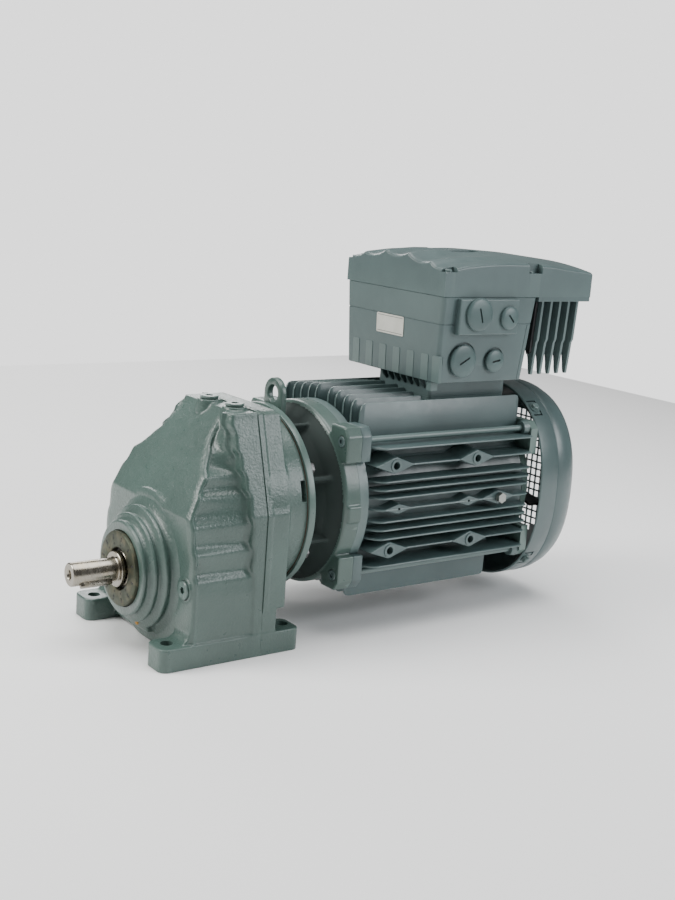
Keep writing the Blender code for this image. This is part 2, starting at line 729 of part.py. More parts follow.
def make_drive_end_shield():
    rear = FRAME_X - FIT_GAP / 2
    front = FLANGE_X + FIT_GAP / 2
    profile = [
        (86.0, rear), (SHIELD_RADIUS, rear), (SHIELD_RADIUS, 213.5), (99.0, 211.5), (84.0, 200.0),
        (72.5, 187.0), (70.0, 175.2), (FLANGE_RADIUS, 175.2), (FLANGE_RADIUS, front),
        (SPIGOT_RADIUS, front), (SPIGOT_RADIUS, 158.0), (26.0, 158.0), (26.0, 189.7), (36.0, 189.7),
        (36.0, 209.0), (60.0, 209.0), (80.0, 224.0),
    ]
    shield = turned("drive_end_shield", profile, MOTOR_AXIS_Z, MOTOR_STEPS, closed=True)
    webs = bmesh.new()
    for number in range(8):
        angle = math.radians(22.5 + 45.0 * number)
        before = len(webs.verts)
        put_box(webs, (172.0, -3.0, 62.0), (206.0, 3.0, 90.0))
        webs.verts.ensure_lookup_table()
        bmesh.ops.rotate(webs, verts=webs.verts[before:], matrix=Matrix.Rotation(angle, 3, "X"))
    web_mesh = finish_bmesh(webs, "shield_web_shape")
    webs = add_object("shield_web_shape", web_mesh, (0.0, 0.0, MOTOR_AXIS_Z), cutter=True)
    lugs = corner_lugs("shield_lug_shape", 212.5, rear)
    rod_hole = ROD_RADIUS + FIT_GAP
    rod_holes = rods("shield_rod_hole_shape", rod_places(200.0), 50.0, rod_hole, steps=12, cutter=True)
    bolt_holes = rods(
        "shield_bolt_hole_shape", flange_bolt_places(160.0), 24.0, FLANGE_BOLT_RADIUS + FIT_GAP,
        steps=12, cutter=True,
    )
    eye_seat = boxes("eye_seat_shape", [((175.5, -19.5, 214.0), (190.5, 19.5, 250.0))], cutter=True)
    depth = ROD_HEAD_X + ROD_HEAD_LENGTH + FIT_GAP - 205.0
    rod_recess = rods("shield_rod_recess_shape", rod_places(205.0), depth, 6.2, steps=12, cutter=True)
    cut(join(shield, webs, lugs), rod_holes, rod_recess, bolt_holes, eye_seat)
    return paint(smooth(shield), PAINT, 0.5)


def make_flange_bolts():
    for number, (x, y, z) in enumerate(flange_bolt_places(103.0), start=1):
        name = "flange_bolt_%d" % number
        bolt = rods(name, [(x, y, z)], 75.0, FLANGE_BOLT_RADIUS, steps=12)
        head = rods(name + "_head_shape", [(175.5, y, z)], 5.5, 7.0, steps=6, cutter=True)
        join(bolt, head)
        paint(bolt, DARK_STEEL, 0.4, 1.0)


def make_lifting_eye():
    outline = circle(EYE_RADIUS, 24)[:13] + [(-EYE_RADIUS, -EYE_SHANK), (EYE_RADIUS, -EYE_SHANK)]
    hole = circle(EYE_HOLE_RADIUS, 24)
    eye = extruded("lifting_eye", [outline, hole], (180.0, 0.0, EYE_Z), EYE_THICKNESS)
    return paint(smooth(eye), PAINT, 0.4)


def make_stator_frame():
    start = FRAME_X + FIT_GAP / 2
    frame = turned(
        "stator_frame",
        [
            (FRAME_OUTER_RADIUS, FRAME_END_X), (FRAME_OUTER_RADIUS, 246.0), (SHIELD_RADIUS, 244.0),
            (SHIELD_RADIUS, start), (FRAME_BORE, start), (FRAME_BORE, FRAME_END_X),
        ],
        MOTOR_AXIS_Z, MOTOR_STEPS, closed=True,
    )
    root = FRAME_OUTER_RADIUS - 5.0
    spans = []
    half = FIN_THICKNESS / 2
    for height in FLANK_FIN_HEIGHTS:
        inner = math.sqrt(root ** 2 - height ** 2)
        for low, high in ((-FLANK_FIN_EDGE, -inner), (inner, FLANK_FIN_EDGE)):
            z = MOTOR_AXIS_Z + height
            spans.append(((250.0, low, z - half), (FRAME_END_X - 1.0, high, z + half)))
    flank_fins = boxes("flank_fin_shape", spans, cutter=True)
    spans = []
    for side in UPRIGHT_FIN_SIDES:
        inner = math.sqrt((root + 2.0) ** 2 - side ** 2)
        top = MOTOR_AXIS_Z + blend(side, ((12.0, 119.0), (72.0, 111.0)))
        end = FRAME_END_X - 2.0 if side > 60.0 else 345.0
        for y in (-side, side):
            spans.append(((247.3, y - half, MOTOR_AXIS_Z + inner), (end, y + half, top)))
            spans.append(((249.0, y - half, 38.0), (448.0, y + half, MOTOR_AXIS_Z - inner)))
    upright_fins = boxes("upright_fin_shape", spans, cutter=True)
    pedestal_span = ((NECK_X[0], NECK_Y[0], 206.0), (NECK_X[1], NECK_Y[1], NECK_BOTTOM_Z - FIT_GAP))
    pedestal = boxes("pedestal_shape", [pedestal_span], cutter=True)
    trim_place = [(340.0, 0.0, MOTOR_AXIS_Z)]
    cut(pedestal, rods("pedestal_trim_shape", trim_place, 140.0, root, steps=32, cutter=True))
    lugs = corner_lugs("frame_lug_shape", start + 0.5, 245.0)
    bosses = bmesh.new()
    boss_holes = bmesh.new()
    for x in BIG_BOSS_XS:
        for height in (BIG_BOSS_DZ, -BIG_BOSS_DZ):
            for start_y, hole_y in ((76.0, 94.0), (-106.0, -110.0)):
                put_rod(bosses, (x, start_y, MOTOR_AXIS_Z + height), 30.0, 9.0, "Y", 12)
                put_rod(boss_holes, (x, hole_y, MOTOR_AXIS_Z + height), 16.0, 4.0, "Y", 8)
    for x in SMALL_BOSS_XS:
        for start_y in (82.0, -106.0):
            put_rod(bosses, (x, start_y, MOTOR_AXIS_Z + SMALL_BOSS_DZ), 24.0, 6.5, "Y", 10)
    for start_y in (92.0, -116.0):
        place = (EARTH_BOLT_X, start_y, MOTOR_AXIS_Z + SMALL_BOSS_DZ)
        put_rod(boss_holes, place, 24.0, 3.4, "Y", 8)
    bosses = add_object("frame_boss_shape", finish_bmesh(bosses, "frame_boss_shape"), cutter=True)
    boss_holes = add_object("boss_hole_shape", finish_bmesh(boss_holes, "boss_hole_shape"), cutter=True)
    rod_hole = ROD_RADIUS + FIT_GAP
    rod_holes = rods("frame_rod_hole_shape", rod_places(225.0), 30.0, rod_hole, steps=12, cutter=True)
    wire_way = rods("wire_way_shape", [(400.0, -10.0, 215.0)], 60.0, 12.0, "Z", 16, cutter=True)
    join(frame, flank_fins, upright_fins, pedestal)
    join(frame, lugs, bosses)
    cut(frame, boss_holes, rod_holes, wire_way)
    return paint(smooth(frame), PAINT_BLUE, 0.45)


def make_tie_rods():
    for number, (x, y, z) in enumerate(rod_places(ROD_HEAD_X), start=1):
        name = "tie_rod_%d" % number
        rod = rods(name, [(x, y, z)], ROD_LENGTH, ROD_RADIUS, steps=12)
        head = rods(name + "_head_shape", [(x, y, z)], ROD_HEAD_LENGTH, 5.6, steps=12, cutter=True)
        join(rod, head)
        paint(rod, STEEL, 0.35, 1.0)


def make_fan_end_shield():
    start = FRAME_END_X + FIT_GAP / 2
    profile = [
        (92.0, 491.0), (92.0, start), (FRAME_BORE - FIT_GAP, start), (FRAME_BORE - FIT_GAP, 474.0),
        (72.0, 474.0), (70.0, start), (36.0, start), (34.0, 459.0), (26.0, 459.0), (26.0, 477.3),
        (20.0, 477.3), (20.0, 491.0),
    ]
    shield = turned("fan_end_shield", profile, MOTOR_AXIS_Z, MOTOR_STEPS, closed=True)
    lugs = corner_lugs("fan_shield_lug_shape", start, 492.5, inner_y=56.0, inner_dz=44.0)
    rod_hole = ROD_RADIUS + FIT_GAP
    rod_holes = rods("fan_shield_hole_shape", rod_places(470.0), 40.0, rod_hole, steps=12, cutter=True)
    cut(join(shield, lugs), rod_holes)
    return paint(smooth(shield), PAINT, 0.5)


def make_rotor():
    profile = [
        (0.0, 524.0), (9.0, 524.0), (10.0, 523.0), (10.0, 492.0), (12.5, 490.0), (12.5, 461.7),
        (19.0, 461.7), (19.0, 207.3), (17.5, 207.3), (17.5, 189.0), (15.0, 188.0), (15.0, 166.0),
        (12.0, 162.0), (12.0, 130.3), (8.0, 130.3), (8.0, 87.0), (7.0, 86.0), (0.0, 86.0),
    ]
    paint(smooth(turned("motor_shaft", profile, MOTOR_AXIS_Z, 20)), STEEL, 0.3, 1.0)
    core = turned(
        "rotor_core",
        [
            (ROTOR_RADIUS, STACK[1]), (ROTOR_RADIUS, STACK[0]), (42.0, 274.0), (42.0, 262.0),
            (30.0, 262.0), (29.0, 272.0), (19.3, 272.0), (19.3, 428.0), (29.0, 428.0), (30.0, 438.0),
            (42.0, 438.0), (42.0, 426.0),
        ],
        MOTOR_AXIS_Z, 24, closed=True,
    )
    paint(smooth(core), DARK_STEEL, 0.45, 0.9)


def make_stator():
    core = ring(
        "stator_core", STACK[0], STACK[1], AIR_GAP_RADIUS, STATOR_RADIUS, MOTOR_AXIS_Z, MOTOR_STEPS
    )
    paint(smooth(core), DARK_STEEL, 0.5, 0.9)
    ends = (
        ("winding_drive_end", 248.0, STACK[0] - FIT_GAP),
        ("winding_fan_end", STACK[1] + FIT_GAP, 452.0),
    )
    for name, low, high in ends:
        winding = ring(name, low, high, 50.0, 72.0, MOTOR_AXIS_Z, 24)
        paint(smooth(winding), COPPER, 0.5, 0.6)


def make_motor_seal():
    seal = turned(
        "motor_shaft_seal",
        [
            (25.7, 176.0), (25.7, 167.0), (15.3, 167.0), (15.3, 169.0), (18.0, 170.0), (23.0, 170.0),
            (23.0, 176.0),
        ],
        MOTOR_AXIS_Z, 20, closed=True,
    )
    paint(smooth(seal), RUBBER, 0.6)


def make_fan():
    """Radial fan: hub, back disc and straight blades."""
    profile = [
        (20.0, 520.0), (24.0, 503.0), (70.0, 500.0), (70.0, 497.5), (10.3, 497.5), (10.3, 520.0),
    ]
    fan = turned("fan", profile, MOTOR_AXIS_Z, 32, closed=True)
    blades = bmesh.new()
    for number in range(FAN_BLADES):
        before = len(blades.verts)
        put_box(blades, (498.5, -1.5, 21.0), (520.0, 1.5, 94.0))
        blades.verts.ensure_lookup_table()
        turn = Matrix.Rotation(math.tau * number / FAN_BLADES, 3, "X")
        bmesh.ops.rotate(blades, verts=blades.verts[before:], matrix=turn)
    blade_mesh = finish_bmesh(blades, "fan_blade_shape")
    blades = add_object("fan_blade_shape", blade_mesh, (0.0, 0.0, MOTOR_AXIS_Z), cutter=True)
    join(fan, blades)
    return paint(smooth(fan), BLACK, 0.6)


def cowl_loop(x, inset, steps=32):
    """A rounded section of the cowl, drawn in from its widest outline by inset."""
    loop = []
    power = 2.0 / COWL_SQUARENESS
    for i in range(steps):
        angle = math.tau * (i + 0.5) / steps
        c, s = math.cos(angle), math.sin(angle)
        y = (COWL_HALF_WIDTH - inset) * math.copysign(abs(c) ** power, c)
        z = (COWL_HALF_HEIGHT - inset) * math.copysign(abs(s) ** power, s)
        loop.append((x, y, COWL_MIDDLE_Z + z))
    return loop


def make_fan_cowl():
    outer = (
        (COWL_FRONT_X, 0.0), (522.0, 0.0), (523.0, 1.0), (546.0, 4.0), (560.0, 12.0),
        (MODEL_END_X, 21.0),
    )
    inner = ((COWL_FRONT_X - 1.0, COWL_WALL), (545.0, 6.0), (558.5, 14.0), (564.0, 22.5))
    cowl = loft("fan_cowl", [cowl_loop(x, inset) for x, inset in outer])
    hollow = loft("cowl_hollow_shape", [cowl_loop(x, inset) for x, inset in inner], cutter=True)
    spans = []
    for row in range(7):
        z = MOTOR_AXIS_Z - 66.0 + 22.0 * row
        for y_from, y_to in ((-78.0, -28.0), (-24.0, 24.0), (28.0, 78.0)):
            if abs(z - MOTOR_AXIS_Z) > 60.0 and abs(y_from + y_to) > 1.0:
                y_from, y_to = (y_from + 12.0, y_to) if y_from < 0 else (y_from, y_to - 12.0)
            spans.append(((555.0, y_from, z - 8.0), (570.0, y_to, z + 8.0)))
    grille = boxes("grille_slot_shape", spans, cutter=True)
    cut(cowl, hollow, grille)
    return paint(smooth(cowl), PAINT, 0.4)


def make_earth_bolts():
    for name, side in (("earth_bolt_near", -1.0), ("earth_bolt_far", 1.0)):
        z = MOTOR_AXIS_Z + SMALL_BOSS_DZ
        start = -109.5 if side < 0 else 96.0
        bolt = rods(name, [(EARTH_BOLT_X, start, z)], 13.5, 3.0, "Y", 12)
        head_start = -111.5 if side < 0 else 106.3
        head_place = [(EARTH_BOLT_X, head_start, z)]
        head = rods(name + "_head_shape", head_place, 5.2, 6.2, "Y", 6, cutter=True)
        join(bolt, head)
        paint(bolt, STEEL, 0.4, 1.0)


# --- Inverter ---------------------------------------------------------------------------------
def rectangle_loop(x_from, x_to, half_width, z, corner=6.0):
    """A rectangle with cut corners, in plan."""
    return [
        (x_from, -half_width + corner, z), (x_from + corner, -half_width, z),
        (x_to - corner, -half_width, z), (x_to, -half_width + corner, z),
        (x_to, half_width - corner, z), (x_to - corner, half_width, z),
        (x_from + corner, half_width, z), (x_from, half_width - corner, z),
    ]


PLUGS = (
    ("cable_plug_upper_large", 384.0, 354.0, 18.5, -95.0),
    ("cable_plug_upper_small", 430.0, 350.0, 13.0, -95.0),
    ("cable_plug_lower_large", 374.0, 301.0, 18.5, -85.5),
    ("cable_plug_lower_small", 422.0, 300.0, 13.0, -85.5),
)


def make_terminal_box():
    top = BOX_SPLIT_Z - FIT_GAP / 2
    box = loft("terminal_box", [
        rectangle_loop(*BOX_LOW, BOX_BOTTOM_Z, 4.0),
        rectangle_loop(*BOX_HIGH, top, 4.0),
    ])
    neck_span = ((NECK_X[0], NECK_Y[0], NECK_BOTTOM_Z), (NECK_X[1], NECK_Y[1], BOX_BOTTOM_Z + 3.0))
    neck = boxes("neck_shape", [neck_span], cutter=True)
    hollow = loft("box_hollow_shape", [
        rectangle_loop(346.0, 465.0, 78.0, BOX_BOTTOM_Z + 6.0),
        rectangle_loop(343.0, 473.0, 83.0, top + 5.0),
    ], cutter=True)
    throat_span = ((360.0, NECK_Y[0] + 8.0, 250.0), (460.0, NECK_Y[1] - 8.0, 290.0))
    throat = boxes("box_throat_shape", [throat_span], cutter=True)
    plate = boxes("plug_plate_shape", [((357.0, -95.0, 331.0), (446.0, -80.0, 371.0))], cutter=True)
    add_bevel(plate, 3.0)
    join(box, neck, plate)
    cut(box, hollow, throat)
    for name, x, z, head_radius, _ in PLUGS:
        hole = rods(name + "_hole_shape", [(x, -110.0, z)], 40.0, head_radius - 5.0, "Y", 20, cutter=True)
        cut(box, hole)
    return paint(smooth(box), PAINT_BLUE, 0.45)


def make_cable_plugs():
    for name, x, z, head_radius, face in PLUGS:
        shank = head_radius - 5.5
        plug = rods(name, [(x, face + FIT_GAP, z)], 14.0, shank, "Y", 20)
        head = rods(name + "_head_shape", [(x, face - 4.7, z)], 4.4, head_radius, "Y", 24, cutter=True)
        slot_span = ((x - 8.0, face - 8.0, z - 0.8), (x + 8.0, face - 3.4, z + 0.8))
        slot = boxes(name + "_slot_shape", [slot_span], cutter=True)
        bridge = rods(name + "_bridge_shape", [(x, face - 2.0, z)], 4.0, shank, "Y", 20, cutter=True)
        cut(join(plug, bridge, head), slot)
        paint(smooth(plug), PAINT_BLUE, 0.4)


def cover_height(x, y):
    """Top of the inverter cover, arched along the unit and across it."""
    side = blend(x, (
        (336.0, 400.4), (370.0, 406.3), (400.0, 409.0), (450.0, 410.2), (502.0, 407.8), (566.0, 402.0),
    ))
    crown = COVER_RISE * (1.0 - (y / (COVER_HALF_WIDTH + 0.5)) ** 2)
    return side + crown * blend(x, ((336.0, 0.6), (380.0, 1.0)))


def cover_section(x):
    bottom = BOX_SPLIT_Z + FIT_GAP / 2
    full = COVER_HALF_WIDTH
    width = blend(x, ((336.0, full - 1.0), (350.0, full), (560.0, full), (566.0, full - 3.0)))
    sides = [i / 5.0 - 1.0 for i in range(11)]
    top = [(x, y * (width - 3.0), cover_height(x, y * width)) for y in sides]
    far = [(x, width, bottom), (x, width, 398.0)]
    near = [(x, -width, 398.0), (x, -width, bottom)]
    return far + list(reversed(top)) + near


def heat_sink_outline():
    """A plate across the unit with an arched underside, so its legs taper at the sides."""
    arch = [(y, ARCH_MIDDLE_Z + z) for y, z in circle(ARCH_RADIUS, 24)[1:12]]
    outline = [(87.5, 375.0), (-87.5, 375.0), (-79.5, 280.5), (-75.0, 280.5)]
    return outline + list(reversed(arch)) + [(75.0, 280.5), (79.5, 280.5)]


def make_inverter_cover():
    xs = (336.5, 350.0, 370.0, 400.0, 430.0, 460.0, 490.0, 520.0, 545.0, 560.0, MODEL_END_X)
    cover = loft("inverter_cover", [cover_section(x) for x in xs])
    overhang_span = ((481.0, -88.5, 367.6), (MODEL_END_X - 0.5, 88.5, 380.0))
    overhang = boxes("overhang_shape", [overhang_span], cutter=True)
    fin_shapes = []
    for number, x in enumerate(HEAT_SINK_XS, start=1):
        start = (x - HEAT_SINK_FIN / 2, 0.0, 0.0)
        name = "heat_sink_fin_shape_%d" % number
        fin_shapes.append(extruded(name, [heat_sink_outline()], start, HEAT_SINK_FIN, cutter=True))
    hollow = boxes("cover_hollow_shape", [((343.0, -82.0, 360.0), (474.0, 82.0, 396.0))], cutter=True)
    join(cover, overhang, *fin_shapes)
    cut(cover, hollow)
    return paint(smooth(cover), PAINT, 0.45)


def make_inverter_inside():
    board = boxes("inverter_board", [((352.0, -72.0, 340.0), (462.0, 72.0, 342.0))])
    parts = boxes("board_part_shape", [
        ((360.0, -60.0, 341.0), (385.0, -30.0, 360.0)),
        ((395.0, -50.0, 341.0), (415.0, 10.0, 356.0)),
        ((425.0, 20.0, 341.0), (450.0, 60.0, 352.0)),
        ((360.0, 30.0, 341.0), (380.0, 60.0, 368.0)),
    ], cutter=True)
    post_places = [(x, y, 282.5) for x in (358.0, 456.0) for y in (-66.0, 66.0)]
    posts = rods("board_post_shape", post_places, 58.0, 3.0, "Z", 10, cutter=True)
    join(board, parts, posts)
    paint(board, GREEN_BOARD, 0.5)
    block = boxes("terminal_block", [((385.0, -62.0, 282.5), (445.0, -52.0, 300.0))])
    paint(block, BLACK, 0.5)


def make_label():
    """A thin plate that lies along the leaning front wall of the housing."""
    rise = BOX_SPLIT_Z - BOX_BOTTOM_Z
    loops = []
    for z in LABEL_Z:
        wall = BOX_LOW[0] + (BOX_HIGH[0] - BOX_LOW[0]) * (z - BOX_BOTTOM_Z) / rise
        rear = wall - FIT_GAP
        front = rear - LABEL_THICKNESS
        loops.append([
            (front, LABEL_Y[0], z), (rear, LABEL_Y[0], z), (rear, LABEL_Y[1], z), (front, LABEL_Y[1], z),
        ])
    paint(loft("label_plate", loops), PALE, 0.4)


# --- Assembly ---------------------------------------------------------------------------------
def make_gearmotor():
    make_gear_case_front()
    make_gear_case_rear()
    make_plugs()
    make_output_train()
    make_drive_end_shield()
    make_flange_bolts()
    make_lifting_eye()
    make_rotor()
    make_pinion()
    bearing("drive_end_bearing", DRIVE_END_BEARING, MOTOR_AXIS_Z)
    bearing("fan_end_bearing", FAN_END_BEARING, MOTOR_AXIS_Z)
    make_motor_seal()
    make_stator()
    make_stator_frame()
    make_fan_end_shield()
    make_tie_rods()
    make_fan()
    make_fan_cowl()
    make_earth_bolts()
    make_terminal_box()
    make_cable_plugs()
    make_inverter_cover()
    make_inverter_inside()
    make_label()


make_gearmotor()
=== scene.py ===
"""Looks of a foot-mounted gearmotor: cast and machined surfaces, fine parts, paints and light.

Dimensions are in millimetres in the unit's own frame: x = 0 on the front face of the output seal
cover and +x towards the fan, z = 0 under the feet, y = 0 on the plane through both shafts.
at() turns them into the metres of the shared frame.
"""

import math

import bmesh
import bpy
from mathutils import Matrix, Vector


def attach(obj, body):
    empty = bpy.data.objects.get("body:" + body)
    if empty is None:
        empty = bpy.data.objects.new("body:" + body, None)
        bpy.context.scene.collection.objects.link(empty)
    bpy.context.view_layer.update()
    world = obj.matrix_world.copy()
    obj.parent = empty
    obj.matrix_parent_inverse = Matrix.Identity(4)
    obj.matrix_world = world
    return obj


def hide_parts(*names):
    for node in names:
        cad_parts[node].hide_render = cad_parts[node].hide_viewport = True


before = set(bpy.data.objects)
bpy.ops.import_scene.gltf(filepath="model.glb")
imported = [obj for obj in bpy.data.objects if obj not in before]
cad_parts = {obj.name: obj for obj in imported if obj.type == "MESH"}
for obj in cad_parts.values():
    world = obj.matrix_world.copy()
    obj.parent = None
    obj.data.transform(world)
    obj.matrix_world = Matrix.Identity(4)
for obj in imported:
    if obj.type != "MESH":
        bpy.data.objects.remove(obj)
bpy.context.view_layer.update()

MILLIMETRE = 0.001
SEAL_FACE_X = -256.0           # the seal cover's front face in the shared frame
BODY = "unit"
OUTPUT_BODY = "output"

# --- Layout -----------------------------------------------------------------------------------
OUTPUT_Z = 80.0
MOTOR_Z = 145.0
SPLIT_X = 116.0                # joint of the two gear-case castings
FLANGE_X = 167.0               # joint of gear case and motor
FRAME_X = 232.0                # joint of drive-end shield and stator frame
FRAME_END_X = 482.0
GAP = 0.15                     # half of the clearance at a joint

# --- Gear case --------------------------------------------------------------------------------
CASE_BOTTOM_Z = 5.0
CASE_TOP_Z = 252.0
FRONT_WALL = ((150.0, 33.0), (170.0, 42.0), (190.0, 52.0), (205.0, 62.0), (230.0, 79.0), (250.0, 95.0))
FRONT_WIDTH = ((100.0, 100.0), (145.0, 90.0), (190.0, 78.0), (207.0, 60.0), (230.0, 45.0))
RIM_WIDTH = ((150.0, 101.0), (250.0, 70.0))
POCKET_DEPTH = ((70.0, 2.0), (100.0, 5.0), (150.0, 8.0), (200.0, 11.5), (245.0, 10.0))
RIM_START = ((90.0, 104.0), (170.0, 98.0), (215.0, 90.0), (245.0, 86.0))
RIDGE_CRESTS = (58.0, 86.0, 114.0, 142.0, 170.0, 190.0, 210.0, 232.0, 254.0)
RIDGE_DEPTH = 4.6
RIDGE_STEEP_SHARE = 0.34       # part of each ridge's height that its steep upper side takes
CAST_SOFTENING = 4             # smoothing passes over a casting's skin
CAVITY_LIMIT = ((150.0, 90.0), (190.0, 68.0), (207.0, 58.0), (224.0, 40.0))
CASE_WALL = 9.0
FOOT_Y = (66.3, 101.6)
FOOT_HEIGHT = 24.0
FOOT_END_X = 165.5
FOOT_CORNER = 9.0
FOOT_HOLES = (15.2, 153.9)
FOOT_HOLE_Y = 82.5
FOOT_HOLE_RADIUS = 6.75
TOP_PLUGS = (("vent_plug_head", "vent_plug", 100.0, 0.0), ("fill_plug_head", "oil_fill_plug", 103.0, -46.0))
LEVEL_PLUG_Y = -84.0
LEVEL_PLUG_Z = 78.0
PLUG_HOLE_RADIUS = 6.3
BOLT_CIRCLE = 91.0
BOLT_ANGLES = (30.0, 150.0, 210.0, 330.0)

# --- Motor ------------------------------------------------------------------------------------
# Reach and x span of the funnel faces that get painted shade
FUNNEL_RADIUS = 99.0
FUNNEL_X = (175.4, 214.0)
ROD_Y = 87.0
ROD_DZ = 74.0
ROD_RADIUS = 3.5
FLANK_FINS = (66.0, 47.0, 29.0, 19.5, 10.5, -2.5, -16.0, -25.5, -35.5, -48.0, -66.0)
UPRIGHT_FINS = (12.0, 26.0, 41.0, 56.0, 72.0)
FIN_EDGE_Y = 105.0
BIG_BOSSES = ((275.0, 47.5), (275.0, -48.0), (393.0, 47.5), (393.0, -48.0))
SMALL_BOSSES = ((285.0, 20.0), (387.0, 18.0))
EARTH_BOLT_X = 433.0
MIDDLE_FIN = -2.3              # height of the small bosses' fin above the motor's axis
NECK_X = (352.0, 468.0)
NECK_Y = (-60.0, 34.0)
SHIELD_WEBS = 8

# --- Inverter ---------------------------------------------------------------------------------
BOX_BOTTOM_Z = 276.0
BOX_SPLIT_Z = 372.6
PARTING_Z = 342.0
COVER_X = (336.5, 566.0)


# --- Mesh tools -------------------------------------------------------------------------------
def at(x, y, z):
    return Vector(((x + SEAL_FACE_X) * MILLIMETRE, y * MILLIMETRE, z * MILLIMETRE))


def table(value, pairs):
    """Read a value from short (position, result) pairs, straight between them."""
    if value <= pairs[0][0]:
        return pairs[0][1]
    for (low, start), (high, end) in zip(pairs, pairs[1:]):
        if value <= high:
            return start + (end - start) * (value - low) / (high - low)
    return pairs[-1][1]


def ease(value, low, high):
    """Smooth step from 0 at low to 1 at high."""
    t = min(1.0, max(0.0, (value - low) / (high - low)))
    return t * t * (3.0 - 2.0 * t)


def new_object(name, shape, material=None):
    """Close a bmesh into an object that shades smoothly, except across sharp edges."""
    bmesh.ops.recalc_face_normals(shape, faces=shape.faces)
    mesh = bpy.data.meshes.new(name)
    shape.to_mesh(mesh)
    shape.free()
    obj = bpy.data.objects.new(name, mesh)
    bpy.context.scene.collection.objects.link(obj)
    if material:
        mesh.materials.append(material)
    return shade(obj)


def shade(obj, angle=35.0):
    obj.data.shade_smooth()
    obj.data.set_sharp_from_angle(angle=math.radians(angle))
    return obj


def apply_modifiers(obj):
    """Replace an object's mesh by its evaluated one."""
    evaluated = obj.evaluated_get(bpy.context.evaluated_depsgraph_get())
    mesh = bpy.data.meshes.new_from_object(evaluated)
    old = obj.data
    obj.modifiers.clear()
    obj.data = mesh
    bpy.data.meshes.remove(old)
    return obj


def boolean(target, other, operation):
    modifier = target.modifiers.new("boolean", "BOOLEAN")
    modifier.operation = operation
    modifier.object = other
    modifier.solver = "EXACT"
    apply_modifiers(target)
    bpy.data.objects.remove(other)
    return target


def cut(target, *others):
    for other in others:
        boolean(target, other, "DIFFERENCE")
    return target


def join(target, *others):
    for other in others:
        boolean(target, other, "UNION")
    return target


def bevel(obj, width, segments=3, angle=30.0):
    modifier = obj.modifiers.new("bevel", "BEVEL")
    modifier.width = width * MILLIMETRE
    modifier.segments = segments
    modifier.limit_method = "ANGLE"
    modifier.angle_limit = math.radians(angle)
    return apply_modifiers(obj)


def even_shading(obj, angle=30.0):
    """Smooth round edges while the large flat walls keep an even shade."""
    shade(obj, angle)
    modifier = obj.modifiers.new("weighted", "WEIGHTED_NORMAL")
    modifier.keep_sharp = True
    return apply_modifiers(obj)


def as_casting(obj, grain, keep):
    """Fuse overlapping bodies into one skin with soft cast fillets, thinned to a share of its faces."""
    remesh = obj.modifiers.new("skin", "REMESH")
    remesh.mode = "VOXEL"
    remesh.voxel_size = grain * MILLIMETRE
    soften = obj.modifiers.new("soften", "SMOOTH")
    soften.factor = 0.5
    soften.iterations = CAST_SOFTENING
    obj.modifiers.new("thin", "DECIMATE").ratio = keep
    apply_modifiers(obj)
    obj.data.shade_smooth()
    return obj


def put_box(shape, low, high):
    middle = (at(*low) + at(*high)) / 2
    size = at(*high) - at(*low)
    matrix = Matrix.Translation(middle) @ Matrix.Diagonal((*size, 1.0))
    return bmesh.ops.create_cube(shape, size=1.0, matrix=matrix)["verts"]


AXIS_TURNS = {
    "X": Matrix.Rotation(math.radians(90.0), 4, "Y"),
    "Y": Matrix.Rotation(math.radians(-90.0), 4, "X"),
    "Z": Matrix.Identity(4),
}


def put_rod(shape, start, length, radius, axis="X", steps=24, end_radius=None):
    """Add a closed cylinder or cone along +axis from start, the middle of its near end."""
    lift = Matrix.Translation((0.0, 0.0, length * MILLIMETRE / 2))
    return bmesh.ops.create_cone(
        shape,
        cap_ends=True,
        segments=steps,
        radius1=radius * MILLIMETRE,
        radius2=(radius if end_radius is None else end_radius) * MILLIMETRE,
        depth=length * MILLIMETRE,
        matrix=Matrix.Translation(at(*start)) @ AXIS_TURNS[axis] @ lift,
    )["verts"]


def put_loops(shape, loops, closed=False):
    """Skin a stack of closed loops of (x, y, z) points, capped unless the stack is closed."""
    rows = [[shape.verts.new(at(*spot)) for spot in loop] for loop in loops]
    count = len(rows[0])
    pairs = list(zip(rows, rows[1:]))
    if closed:
        pairs.append((rows[-1], rows[0]))
    for low, high in pairs:
        for i in range(count):
            j = (i + 1) % count
            shape.faces.new((low[i], low[j], high[j], high[i]))
    if not closed:
        shape.faces.new(rows[0])
        shape.faces.new(rows[-1])


def spot_on(axis, along, first, second):
    """Point from its place along an axis and its two other coordinates in order."""
    return {"X": (along, first, second), "Y": (first, along, second), "Z": (first, second, along)}[axis]


def put_turned(shape, profile, middle, steps=96, axis="X"):
    """Revolve a closed profile of (radius, distance) points round an axis through middle."""
    loops = []
    for i in range(steps):
        angle = math.tau * i / steps
        c, s = math.cos(angle), math.sin(angle)
        spots = [spot_on(axis, along, radius * c, radius * s) for radius, along in profile]
        loops.append([[start + part for start, part in zip(middle, spot)] for spot in spots])
    put_loops(shape, loops, closed=True)
    bmesh.ops.remove_doubles(shape, verts=shape.verts, dist=1e-7)
    bmesh.ops.dissolve_degenerate(shape, edges=shape.edges, dist=1e-7)


def put_prism(shape, outline, start, end, axis="X"):
    """Give a flat outline thickness; its points are the two other coordinates in order."""
    put_loops(shape, [[spot_on(axis, along, a, b) for a, b in outline] for along in (start, end)])


def put_both(shape, span, x_from, x_to, z_from, z_to):
    """Two boxes mirrored across y = 0, whose distances from it are the span's."""
    for side in (-1.0, 1.0):
        low, high = sorted((side * span[0], side * span[1]))
        put_box(shape, (x_from, low, z_from), (x_to, high, z_to))


